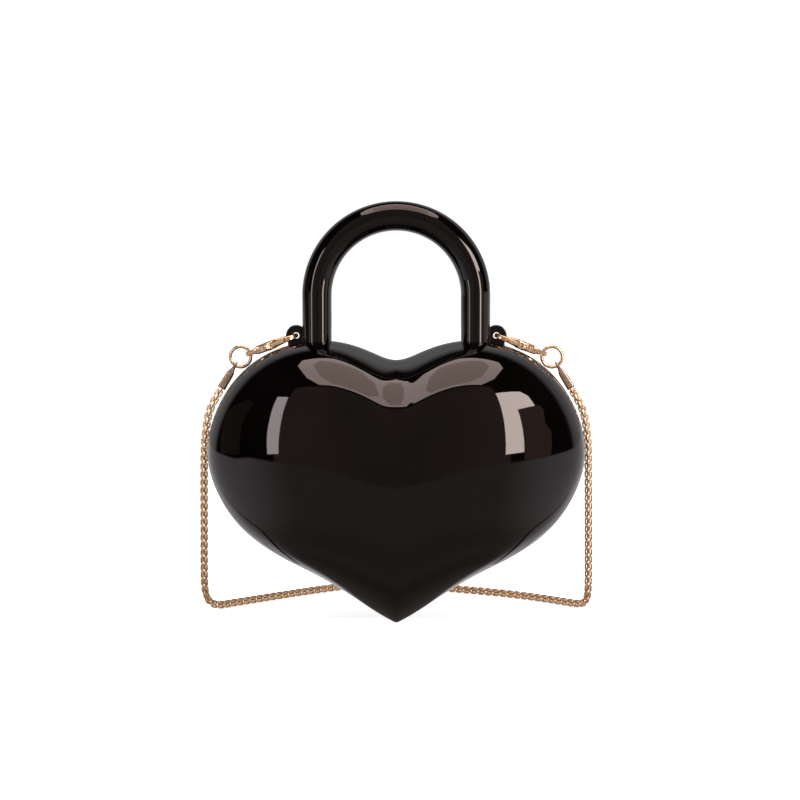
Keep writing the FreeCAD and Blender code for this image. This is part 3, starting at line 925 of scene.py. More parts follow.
    def band(self, name: str, insets: Pair, setback: float, edge: float, rows: int, side: Side) -> Piece:
        """A closed hollow half.

        Args:
            name: The object's name.
            insets: The insets of its outer and its inner surface.
            setback: How far its rim lies from the parting plane.
            edge: The radius of the rim's outer edge.
            rows: How many level lines the outer surface has.
            side: The half.

        Returns:
            The new object.
        """
        outer, inner = insets
        turns = QUARTER_TURN * (1 - (1 - np.linspace(0, 1, rows)[1:]) ** self.rim_bunching)
        lines = [self.row(turn, outer, side, setback + edge) for turn in turns]
        for share in self.edge_shares:
            turn = share * QUARTER_TURN
            inset = outer + edge * (1 - math.cos(turn))
            lines.append(self.row(QUARTER_TURN, inset, side, setback + edge * (1 - math.sin(turn))))
        lines += [self.row(turn, inner, side, setback) for turn in turns[::-2]]
        count = len(lines[0])
        crowns = [self.row(0.0, inset, side)[0] for inset in insets]
        points = np.concatenate([*lines, np.array(crowns)])
        faces = ring_faces(len(lines), count)
        last = (len(lines) - 1) * count
        for place in range(count):
            after = (place + 1) % count
            faces.append((len(points) - 2, after, place))
            faces.append((len(points) - 1, last + place, last + after))
        return mesh_object(name, points, faces)


@dataclass
class Body:
    """The two lacquered halves, with what is moulded into them."""

    palette: Palette
    form: HeartForm = field(default_factory=HeartForm)
    wall: float = 0.0024
    rim_setback: float = 0.00008
    rim_edge: float = 0.0005
    rows: int = 62
    leg_room: float = 0.00742
    leg_room_top: float = -0.050
    ledge_thickness: float = 0.004
    ledge_front: float = -0.009
    ledge_edge: float = 0.0006
    ledge_span: Pair = (0.03045, 0.05655)
    ledge_steps: int = 24
    lug_room_x: Pair = (0.04725, 0.05485)
    lug_room_y: Pair = (-0.002, 0.0046)
    lug_room_top: float = -0.058
    hinge: Pair = (0.005, -0.2004)
    hinge_room: float = 0.00793
    hinge_room_half: float = 0.00955
    knuckle_radius: float = 0.0026
    knuckle_edge: float = 0.00025
    knuckle_steps: int = 25
    pin_room: float = 0.00105
    pin_room_steps: int = 32
    front_knuckles: Pair = (0.0033, 0.0063)
    front_root: Corners = ((-0.0030, 0.0093), (-0.0030, 0.0068), (0.0, 0.0054))
    rear_knuckle: float = 0.0029
    rear_root: Corners = ((0.0150, 0.0096), (0.0150, 0.0128))
    magnet_place: Pair = (0.017, -0.0783)
    post_radius: float = 0.0056
    post_edge: float = 0.0004
    pocket_radius: float = 0.0041
    pocket_depth: float = 0.0022
    post_setback: float = 0.00025

    def finish(self, item: Piece, side: Side, node: str | None = None) -> Piece:
        """Dress a moulded piece and let it ride on its half."""
        return settle(item, self.palette.black, BODY_OF_SIDE[side], "gloss_black", node)

    def leg_tool(self, hand: Hand) -> Piece:
        """The room of a leg, as a tool for cutting."""
        base = (hand.value * LEG_X, 0, 0)
        return rod("leg_room", self.leg_room, (LEG_END_Z, self.leg_room_top), base, (0, 0, 1))

    def lug_tool(self, hand: Hand) -> Piece:
        """The room of a lug, as a tool for cutting."""
        low_x, high_x = sorted(hand.value * x for x in self.lug_room_x)
        front, back = self.lug_room_y
        return block("lug_room", (low_x, front, LEG_END_Z), (high_x, back, self.lug_room_top))

    def hinge_tool(self) -> Piece:
        """The room of the hinge, as a tool for cutting."""
        span = (-self.hinge_room_half, self.hinge_room_half)
        return rod("hinge_room", self.hinge_room, span, (0, *self.hinge), (1, 0, 0))

    def shell(self, side: Side) -> Piece:
        """Make one half shell with its cut-outs.

        Args:
            side: The half.

        Returns:
            The shell.
        """
        node = side.named("shell")
        insets = (0.0, self.wall)
        item = self.form.band(f"{node}_skin", insets, self.rim_setback, self.rim_edge, self.rows, side)
        for hand in Hand:
            combine(item, self.leg_tool(hand), Cut.AWAY)
        if side is Side.REAR:
            for hand in Hand:
                combine(item, self.lug_tool(hand), Cut.AWAY)
            combine(item, self.hinge_tool(), Cut.AWAY)
        return self.finish(item, side, node)

    def post(self, hand: Hand, side: Side) -> Piece:
        """Make a post with a pocket for a magnet.

        Args:
            hand: Which of the two posts of a half.
            side: The half.

        Returns:
            The post.
        """
        x, z = hand.value * self.magnet_place[0], self.magnet_place[1]
        reach = self.form.depth_at(x, z + self.post_radius, self.wall / 2) - self.post_setback
        pocket, radius, edge = self.pocket_radius, self.post_radius, self.post_edge
        profile = [
            (0, self.pocket_depth), (pocket, self.pocket_depth), (pocket, edge), (pocket + edge, 0),
            (radius - edge, 0), (radius, edge), (radius, reach), (0, reach)]
        base = (x, side.value * self.post_setback, z)
        item = lathe(hand.named(side.named("magnet_post")), profile, base, (0, side.value, 0))
        return self.finish(item, side)

    def ledge(self, hand: Hand) -> Piece:
        """Make the shelf in the rear half that a leg and a lug stand on.

        Args:
            hand: The side that it is on.

        Returns:
            The shelf.
        """
        top, under = LEG_END_Z, LEG_END_Z - self.ledge_thickness
        front, edge = self.ledge_front, self.ledge_edge
        sections = []
        for x in np.linspace(*self.ledge_span, self.ledge_steps):
            back_top, back_under = (self.form.depth_at(float(x), z, self.wall / 2) for z in (top, under))
            corners = [(front + edge, top), (back_top, top), (back_under, under), (front + edge, under),
                       (front, under + edge), (front, top - edge)]
            sections.append([(hand.value * x, y, z) for y, z in corners])
        points = np.array(sections)
        faces = ring_faces(*points.shape[:2], ends=True)
        return self.finish(mesh_object(hand.named("handle_ledge"), points.reshape(-1, 3), faces), Side.REAR)

    def knuckle(self, name: str, span: Pair, root: Corners, side: Side) -> Piece:
        """Make a hinge knuckle with a web to its root.

        Args:
            name: The object's name.
            span: Where it starts and ends along X.
            root: The corners of its web's root, as y and z from the tip.
            side: The half that it belongs to.

        Returns:
            The knuckle.
        """
        corners = [(y, TIP_Z + z) for y, z in root]
        away = math.atan2(corners[0][1] - self.hinge[1], corners[0][0] - self.hinge[0])
        start = away + math.copysign(QUARTER_TURN, -side.value)
        turns = np.linspace(start, start + math.copysign(math.pi, -side.value), self.knuckle_steps)
        eye = arc_points(self.knuckle_radius, turns, self.hinge)
        pin = circle_loop(self.pin_room, self.pin_room_steps, self.hinge)
        loops = [np.concatenate([eye, corners]), pin]
        low_x, high_x = span
        item = rounded_plate(name, loops, high_x - low_x, self.knuckle_edge)
        middle = (low_x + high_x) / 2
        move_points(item, lambda points: np.stack([points[:, 2] + middle, points[:, 0], points[:, 1]], 1))
        face_outwards(item)
        return self.finish(item, side)

    def knuckles(self) -> list[Piece]:
        """The knuckles of both halves."""
        near, far = self.front_knuckles
        return [
            self.knuckle("front_knuckle_right", (near, far), self.front_root, Side.FRONT),
            self.knuckle("front_knuckle_left", (-far, -near), self.front_root, Side.FRONT),
            self.knuckle("rear_knuckle", (-self.rear_knuckle, self.rear_knuckle), self.rear_root, Side.REAR)]

    def build(self) -> list[Piece]:
        """Make both halves and what is moulded into them.

        Returns:
            All the pieces.
        """
        items = [self.shell(side) for side in Side]
        items += [self.post(hand, side) for hand in Hand for side in Side]
        items += [self.ledge(hand) for hand in Hand]
        return items + self.knuckles()


@dataclass
class Liners:
    """The flocked trays inside the halves."""

    palette: Palette
    form: HeartForm
    insets: Pair = (0.0027, 0.0037)
    setback: float = 0.0004
    edge: float = 0.0003
    rows: int = 44
    span_z: Pair = (-0.1869, -0.0893)
    room_half: Pair = (0.1, 0.06)

    def build(self) -> list[Piece]:
        """Make both liners, each cut level at its top and its bottom.

        Returns:
            The front and the rear one.
        """
        items = []
        half_x, half_y = self.room_half
        low, high = self.span_z
        for side in Side:
            node = side.named("liner")
            item = self.form.band(f"{node}_flock", self.insets, self.setback, self.edge, self.rows, side)
            tool = block("liner_room", (-half_x, -half_y, low), (half_x, half_y, high))
            combine(item, tool, Cut.COMMON)
            items.append(settle(item, self.palette.flock, BODY_OF_SIDE[side], "lining", node))
        return items


@dataclass
class Handle:
    """The arched bar."""

    palette: Palette
    radius: float = 0.00735
    leg_steps: int = 14
    arch_steps: int = 120
    round_steps: int = 72

    def build(self) -> Piece:
        """Make the bar: a half circle on two straight legs.

        Returns:
            The bar.
        """
        rise = np.linspace(LEG_END_Z, -LEG_X, self.leg_steps)[:-1]
        turns = np.linspace(0, math.pi, self.arch_steps)
        right = np.stack([np.full_like(rise, LEG_X), np.zeros_like(rise), rise], 1)
        arch = np.stack([LEG_X * np.cos(turns), np.zeros_like(turns), LEG_X * (np.sin(turns) - 1)], 1)
        path = np.concatenate([right, arch, right[::-1] * np.array([-1, 1, 1])])
        points, faces = sweep(path, (0, 1, 0), round_section(self.radius, self.round_steps), False)
        item = mesh_object("handle_bar", points, faces)
        return settle(item, self.palette.black, "purse", "gloss_black", "handle")


# Strap


@dataclass
class Lug:
    """A black eye beside a leg, which a clasp hooks into."""

    palette: Palette
    eye: Pair = (0.0504, -0.0599)
    eye_radius: float = 0.0052
    hole_radius: float = 0.0016
    hole_steps: int = 48
    arc_steps: int = 40
    flat_x: float = 0.0472
    width: float = 0.00735
    thickness: float = 0.004
    edge: float = 0.0006

    def outline(self) -> np.ndarray:
        """Draw the eye and its shank, seen from the front.

        Returns:
            The points of the outline.
        """
        far_x = self.flat_x + self.width
        flat_turn = math.acos((self.flat_x - self.eye[0]) / self.eye_radius)
        shank_turn = -math.acos((far_x - self.eye[0]) / self.eye_radius)
        turns = np.linspace(shank_turn, flat_turn, self.arc_steps)
        arc = arc_points(self.eye_radius, turns, self.eye)
        return np.concatenate([arc, [(self.flat_x, LEG_END_Z), (far_x, LEG_END_Z)]])

    def build(self, hand: Hand) -> Piece:
        """Make the lug of one side.

        Args:
            hand: The side.

        Returns:
            The lug.
        """
        loops = [self.outline(), circle_loop(self.hole_radius, self.hole_steps, self.eye)]
        node = hand.named("chain_lug")
        item = rounded_plate(f"{node}_eye", loops, self.thickness, self.edge)
        move_points(item, lambda points: np.stack(
            [hand.value * points[:, 0], STRAP_Y + points[:, 2], points[:, 1]], 1))
        face_outwards(item)
        return settle(item, self.palette.black, "purse", "gloss_black", node)


@dataclass(frozen=True)
class Seat:
    """The place of a fitting on the strap: its eye, and the way that it points, on the right side."""

    tail: Place
    way: Pair

    def matrix(self, hand: Hand) -> Matrix:
        """The fitting's own frame on one side.

        Args:
            hand: The side.

        Returns:
            The frame, with X along the fitting and Y to the back.
        """
        along = Vector((hand.value * self.way[0], 0, self.way[1])).normalized()
        back = Vector((0, 1, 0))
        up = along.cross(back)
        place = Vector((hand.value * self.tail[0], self.tail[1], self.tail[2]))
        return Matrix.Translation(place) @ Matrix((along, back, up)).transposed().to_4x4()


@dataclass
class Fittings:
    """Clasps, rings and chain ends of the strap.

    The lever's corners and the cap's stations are in millimetres.
    """

    palette: Palette
    crease: float = 42.0
    clasp_seat: Seat = Seat((0.073731, STRAP_Y, -0.068875), (-0.933322, 0.359040))
    cap_seat: Seat = Seat((0.0812473, STRAP_Y, -0.0751038), (0.526153, -0.850390))
    ring_centre: Pair = (0.0785376, -0.0707242)
    ring_radius: float = 0.00515
    ring_wire: float = 0.00085
    ring_steps: int = 72
    ring_wire_steps: int = 20
    ring_slit: float = 0.012
    ring_slit_turn: float = 20.0
    reach: float = 0.0249978
    hook_bar: float = 0.0019
    clasp_half_width: float = 0.0058
    thickness: float = 0.0042
    clasp_edge: float = 0.0008
    clasp_steps: int = 10
    eye_radius: float = 0.0023
    eye_hole: float = 0.00125
    eye_hole_steps: int = 28
    jaw_start: float = 0.0122
    jaw_half: float = 0.0029
    jaw_steps: int = 14
    mouth: Pair = (0.0132, 0.01931)
    fork_low: Place = (0.0074, -0.01, -0.00145)
    fork_high: Place = (0.0132, -0.0016, 0.00145)
    outline_shares: Corners = (
        (0.08, 0.40), (0.21, 0.52), (0.36, 0.82), (0.58, 1.0), (0.80, 0.97), (0.97, 0.62))
    thickness_stations: Corners = (
        (-0.004, 0.0011), (0.0018, 0.0011), (0.0042, 0.0021), (0.0138, 0.00215), (0.0200, 0.0014),
        (0.030, 0.00085))
    pivot: Pair = (0.0108, -0.00375)
    lever_corners: Corners = (
        (8.4, -5.9), (9.3, -6.1), (10.3, -5.5), (12.0, -4.85), (14.5, -4.85), (17.0, -4.8), (18.6, -4.6),
        (18.85, -3.6), (18.5, -2.85), (15.0, -2.75), (12.0, -2.75), (9.6, -2.8), (8.5, -3.6), (8.3, -4.8))
    lever_steps: int = 5
    lever_hole: float = 0.00065
    lever_hole_steps: int = 20
    lever_thickness: float = 0.0025
    lever_edge: float = 0.0004
    pin_radius: float = 0.0006
    pin_steps: int = 24
    head_radius: float = 0.00095
    head_stations: Corners = ((1.0, 0.0), (0.7, 0.0002), (0.0, 0.0003))
    spring_radius: float = 0.00098
    spring_wire: float = 0.00013
    spring_steps: int = 64
    spring_wire_steps: int = 8
    spring_base: float = 0.0007
    spring_pitch: float = 0.00028
    spring_turns: int = 2
    cap_length: float = 0.0133627
    cap_squareness: float = 4.5
    cap_steps: int = 32
    cap_stations: tuple[Place, ...] = (
        (0.8, 1.3, 0.75), (1.6, 1.6, 0.85), (2.8, 1.85, 1.2), (4.0, 2.0, 1.7), (5.2, 2.1, 1.9),
        (8.5, 2.15, 2.0), (11.9, 2.2, 2.05), (12.1, 2.28, 2.1), (12.9, 2.28, 2.1))
    cap_end: Pair = (2.15, 2.0)
    cap_eye: float = 0.0016
    cap_eye_wire: float = 0.00048
    cap_eye_wire_steps: int = 12

    def place(self, item: Piece, seat: Seat, hand: Hand, node: str, material: Finish, slot: str = "rose_gold",
              body: str = "purse") -> Piece:
        """Put a fitting on the strap, in its node's stead.

        Args:
            item: The fitting, in its own frame.
            seat: Where it sits.
            hand: The end of the strap.
            node: The node that it stands for.
            material: Its finish.
            slot: Its material's slot in the record.
            body: The body that it rides on.

        Returns:
            The same fitting.
        """
        item.data.transform(seat.matrix(hand))
        face_outwards(item)
        return settle(item, material, body, slot, node, self.crease)

    def ring(self, hand: Hand) -> Piece:
        """Make a jump ring with a fine slit where its wire was closed.

        Args:
            hand: The end of the strap.

        Returns:
            The ring.
        """
        node = hand.named("jump_ring")
        turns = np.linspace(self.ring_slit, FULL_TURN - self.ring_slit, self.ring_steps)
        turns += math.radians(self.ring_slit_turn)
        middle_x, middle_z = self.ring_centre
        x, z = arc_points(self.ring_radius, turns, (hand.value * middle_x, middle_z)).T
        path = np.stack([x, np.full_like(x, STRAP_Y), z], 1)
        points, faces = sweep(path, (0, 1, 0), round_section(self.ring_wire, self.ring_wire_steps), False)
        item = mesh_object(f"{node}_wire", points, faces)
        return settle(item, self.palette.gold, "purse", "rose_gold", node, self.crease)

    def hook_outline(self) -> np.ndarray:
        """Draw the clasp, round the hook and back along the inside of the jaw.

        Returns:
            The points of the outline.
        """
        upper = [(share * self.reach, rise * self.clasp_half_width) for share, rise in self.outline_shares]
        lower = [(x, -y) for x, y in reversed(upper)]
        end = (self.reach + self.hook_bar / 2, 0.0)
        outer = smooth_loop([end, *lower, (-self.eye_radius, 0.0), *upper], self.clasp_steps)
        start, stop = self.mouth
        in_mouth = (outer[:, 0] > start) & (outer[:, 0] < stop) & (outer[:, 1] < 0)
        first = int(np.argmax(in_mouth))
        last = len(in_mouth) - 1 - int(np.argmax(in_mouth[::-1]))
        front = self.reach - self.hook_bar / 2 - self.jaw_half
        back = self.jaw_start + self.jaw_half
        turns = np.linspace(-QUARTER_TURN, QUARTER_TURN, self.jaw_steps)
        front_arc = arc_points(self.jaw_half, turns, (front, 0.0))
        back_arc = arc_points(-self.jaw_half, turns, (back, 0.0))
        around = np.concatenate([outer[last + 1:], outer[:first]])
        return np.concatenate([around, [(stop, -self.jaw_half)], front_arc, back_arc])

    def thin(self, points: np.ndarray) -> np.ndarray:
        """Make the clasp thick at its lever and thin at its ends.

        Args:
            points: The clasp's points, evenly thick.

        Returns:
            The new points.
        """
        places, halves = np.array(self.thickness_stations).T
        share = np.interp(points[:, 0], places, halves) / (self.thickness / 2)
        return points * np.stack([np.ones_like(share), np.ones_like(share), share], 1)

    def clasp(self, hand: Hand) -> Piece:
        """Make the cast hook of a clasp.

        Args:
            hand: The end of the strap.

        Returns:
            The hook.
        """
        node = hand.named("clasp_body")
        loops = [self.hook_outline(), circle_loop(self.eye_hole, self.eye_hole_steps)]
        item = rounded_plate(f"{node}_hook", loops, self.thickness, self.clasp_edge)
        move_points(item, self.thin)
        combine(item, block("fork_room", self.fork_low, self.fork_high), Cut.AWAY)
        return self.place(item, self.clasp_seat, hand, node, self.palette.gold)

    def trigger(self, hand: Hand) -> Piece:
        """Make the lever of a clasp, with a thumb tab.

        Args:
            hand: The end of the strap.

        Returns:
            The lever.
        """
        node = hand.named("clasp_trigger")
        hole = circle_loop(self.lever_hole, self.lever_hole_steps, self.pivot)
        loops = [smooth_loop(self.lever_corners, self.lever_steps) * MM, hole]
        item = rounded_plate(f"{node}_lever", loops, self.lever_thickness, self.lever_edge)
        return self.place(item, self.clasp_seat, hand, node, self.palette.gold, body=TRIGGER_BODY[hand])

    def rivet(self, hand: Hand) -> Piece:
        """Make the pivot of a lever, with domed ends.

        Args:
            hand: The end of the strap.

        Returns:
            The pivot.
        """
        node = hand.named("trigger_pin")
        half, radius = self.thickness / 2, self.pin_radius
        head = [(share * self.head_radius, half + rise) for share, rise in self.head_stations]
        foot = [(out, -place) for out, place in reversed(head)]
        profile = [*foot, (radius, -half), (radius, half), *head]
        item = lathe(f"{node}_rivet", profile, (*self.pivot, 0), (0, 0, 1), self.pin_steps)
        return self.place(item, self.clasp_seat, hand, node, self.palette.gold)

    def spring(self, hand: Hand) -> Piece:
        """Make the coil round the pivot that keeps the lever shut.

        Args:
            hand: The end of the strap.

        Returns:
            The coil.
        """
        node = hand.named("trigger_spring")
        turns = np.linspace(0, self.spring_turns * FULL_TURN, self.spring_steps)
        height = self.spring_base + self.spring_pitch * turns / FULL_TURN
        path = np.column_stack([arc_points(self.spring_radius, turns, self.pivot), height])
        section = round_section(self.spring_wire, self.spring_wire_steps)
        points, faces = sweep(path, (0, 0, 1), section, False)
        item = mesh_object(f"{node}_coil", points, faces)
        return self.place(item, self.clasp_seat, hand, node, self.palette.steel, "steel")

    def cap(self, hand: Hand) -> Piece:
        """Make a chain end: an eye on a square sleeve that widens towards the chain.

        Args:
            hand: The end of the strap.

        Returns:
            The chain end.
        """
        node = hand.named("chain_cap")
        rows = []
        for place, wide, thick in (*self.cap_stations, (self.cap_length / MM, *self.cap_end)):
            square = round_section(wide * MM, self.cap_steps, self.cap_squareness, thick * MM)
            rows.append(np.column_stack([np.full(len(square), place * MM), square]))
        points = np.concatenate(rows)
        faces = ring_faces(len(rows), len(rows[0]), ends=True)
        loop = in_space(circle_loop(self.cap_eye, self.cap_steps))
        section = round_section(self.cap_eye_wire, self.cap_eye_wire_steps)
        eye, eye_faces = sweep(loop, (0, 0, 1), section, True)
        faces += [tuple(corner + len(points) for corner in face) for face in eye_faces]
        item = mesh_object(f"{node}_sleeve", np.concatenate([points, eye]), faces)
        # The caps' darker copy of the rose gold is painted shade.
        return self.place(item, self.cap_seat, hand, node, self.palette.shaded_gold)

    def build(self) -> list[Piece]:
        """Make the fittings of both sides."""
        makers = (self.ring, self.clasp, self.trigger, self.rivet, self.spring, self.cap)
        return [maker(hand) for hand in Hand for maker in makers]


@dataclass
class BoxChain:
    """The chain: square links in turn across each other, along one smooth line.

    Its route is in millimetres.
    """

    palette: Palette
    crease: float = 60.0
    width: float = 0.0041
    strip: float = 0.0016
    strip_thickness: float = 0.00095
    strip_squareness: float = 3.4
    strip_steps: int = 12
    link_length: float = 0.00436
    link_squareness: float = 4.0
    link_steps: int = 20
    pitch: float = 0.0022
    spare_share: float = 0.3
    end_share: float = 0.35
    line_steps: int = 24
    line_order: int = 3
    link_turn: float = 90.0
    hanging_turn: float = 3.0
    lying_turn: float = 45.0
    turn_rise: float = 0.014
    route: tuple[Place, ...] = (
        (-88.28, 2.3, -86.47), (-91.22, 2.3, -91.23), (-94.6, 2.8, -98.15), (-96.3, 3.5, -106.18),
        (-97.4, 4.8, -115.21), (-98.1, 8.6, -132.09), (-98.7, 13.8, -151.16), (-99.4, 19.8, -169.75),
        (-100.1, 25.4, -185.31), (-100.2, 29.0, -195.36), (-98.3, 31.5, -201.38), (-94.0, 34.0, -203.85),
        (-86.4, 42.0, -203.85), (-75.2, 52.2, -203.85), (-61.8, 64.3, -203.85), (-47.6, 76.8, -203.85),
        (-34.7, 87.0, -203.85), (-24.6, 94.2, -203.85), (-18.6, 102.0, -203.85), (-15.8, 112.4, -203.85),
        (-11.6, 123.4, -203.85), (-0.8, 128.6, -203.85), (10.2, 122.6, -203.85), (14.0, 110.6, -203.85),
        (15.4, 99.4, -203.85), (20.6, 89.8, -203.85), (31.6, 83.0, -203.85), (45.8, 76.2, -203.85),
        (60.6, 68.0, -203.85), (75.4, 57.2, -203.85), (86.8, 47.4, -203.85), (95.6, 38.4, -203.85),
        (99.4, 33.4, -202.19), (100.4, 30.8, -196.36), (100.1, 26.6, -185.51), (99.4, 20.6, -169.45),
        (98.7, 14.3, -150.66), (98.0, 8.9, -131.79), (97.4, 4.8, -115.01), (96.3, 3.5, -105.98),
        (94.6, 2.8, -97.95), (91.22, 2.3, -91.23), (88.28, 2.3, -86.47))

    def line(self) -> np.ndarray:
        """Draw the chain's smooth line.

        Returns:
            Its points, one row each.
        """
        curve = bpy.data.curves.new("chain_line", "CURVE")
        curve.dimensions = "3D"
        curve.resolution_u = self.line_steps
        spline = curve.splines.new("NURBS")
        spline.points.add(len(self.route) - 1)
        for point, place in zip(spline.points, self.route):
            point.co = (*(value * MM for value in place), 1)
        spline.order_u = self.line_order
        spline.use_endpoint_u = True
        mesh = curve_mesh(curve)
        points = np.array([tuple(vertex.co) for vertex in mesh.vertices])
        bpy.data.meshes.remove(mesh)
        return points

    def link(self) -> tuple[np.ndarray, list]:
        """Make one link along X, flat in the XY plane.

        Returns:
            Its points and its faces.
        """
        half_length = (self.link_length - self.strip_thickness) / 2
        half_width = (self.width - self.strip_thickness) / 2
        path = in_space(round_section(half_length, self.link_steps, self.link_squareness, half_width))
        section = round_section(
            self.strip / 2, self.strip_steps, self.strip_squareness, self.strip_thickness / 2)
        return sweep(path, (0, 0, 1), section, True)

    def build(self, fittings: Sequence[Piece]) -> Piece:
        """Args:
            fittings: The pieces that hang with it; not used.

        Returns:
            The chain.
        """
        line = self.line()
        steps = np.linalg.norm(np.diff(line, axis=0), axis=1)
        distance = np.concatenate([[0.0], np.cumsum(steps)])
        length = float(distance[-1])
        count = int((length - self.link_length * self.spare_share) / self.pitch)
        end = self.pitch * self.end_share
        middles = np.linspace(end, length - end, count)
        spots = np.stack([np.interp(middles, distance, line[:, axis]) for axis in range(3)], 1)
        ways = np.gradient(spots, axis=0)
        shape, link_faces = self.link()
        points, faces = [], []
        across = Vector((0, 1, 0))
        for number, (spot, way) in enumerate(zip(spots, ways)):
            along = Vector(way).normalized()
            across = (across - along * across.dot(along)).normalized()
            lying = 1 - min(max((spot[2] - TIP_Z - self.width / 2) / self.turn_rise, 0.0), 1.0)
            turn = self.hanging_turn + (self.lying_turn - self.hanging_turn) * lying
            turn += self.link_turn * (number % 2)
            side = Matrix.Rotation(math.radians(turn), 3, along) @ across
            frame_of_link = np.array((along, side, along.cross(side)))
            points.append(shape @ frame_of_link + spot)
            faces += [tuple(corner + number * len(shape) for corner in face) for face in link_faces]
        item = mesh_object("shoulder_chain_links", np.concatenate(points), faces)
        settle(item, self.palette.gold, "purse", "rose_gold", "shoulder_chain", self.crease)
        log.info("chain %.4f m, %d links", length, count)
        return item


# Studio


def aim(item: Piece, place: Place, target: Place) -> None:
    """Put a lamp or the camera at a place and turn it to a target."""
    item.location = place
    item.rotation_euler = (Vector(target) - Vector(place)).to_track_quat("-Z", "Y").to_euler()


def glow_card(item: Piece, glow: Colour) -> Piece:
    """Make a stage piece glow, unseen by the camera.

    Args:
        item: The piece.
        glow: Its light.

    Returns:
        The same piece.
    """
    material = bpy.data.materials.new(f"{item.name}_glow")
    material.use_nodes = True
    nodes = Nodes(material.node_tree)
    nodes.tree.nodes.clear()
    hue = (*[value / max(glow) for value in glow], 1)
    light = nodes.node("ShaderNodeEmission", Color=hue, Strength=max(glow))
    nodes.join(light.outputs[0], nodes.node("ShaderNodeOutputMaterial").inputs[0])
    dress(item, material)
    item.visible_camera = False
    return item


def only_mirrored(item: Piece) -> None:
    """Let a stage piece neither shade nor light what it stands by."""
    item.visible_diffuse = False
    item.visible_shadow = False


@dataclass(frozen=True)
class Card:
    """A glowing card that the lacquer mirrors, on a standing cylinder round the bag.

    Its corners are given by their bearing from the front in degrees and their height in millimetres.
    """

    name: str
    corners: Corners
    glow: Colour
    distance: float = 0.30

    def build(self) -> Piece:
        """Make the card."""
        turns = [(math.radians(bearing), height * MM) for bearing, height in self.corners]
        points = [(self.distance * math.sin(turn), -self.distance * math.cos(turn), z) for turn, z in turns]
        return glow_card(flat_object(self.name, points), self.glow)


@dataclass(frozen=True)
class Overhead:
    """A level glowing card above the bag.

    Its corners are given as shares of its height, to the right and to the back.
    """

    name: str
    corners: Corners
    height: float
    glow: Colour

    def build(self) -> Piece:
        """Make the card."""
        points = [Vector(BODY_MIDDLE) + self.height * Vector((x, y, 1)) for x, y in self.corners]
        return glow_card(flat_object(self.name, points), self.glow)


@dataclass(frozen=True)
class Lamp:
    """A square lamp for metal pieces."""

    name: str
    place: Place
    size: float
    watts: float


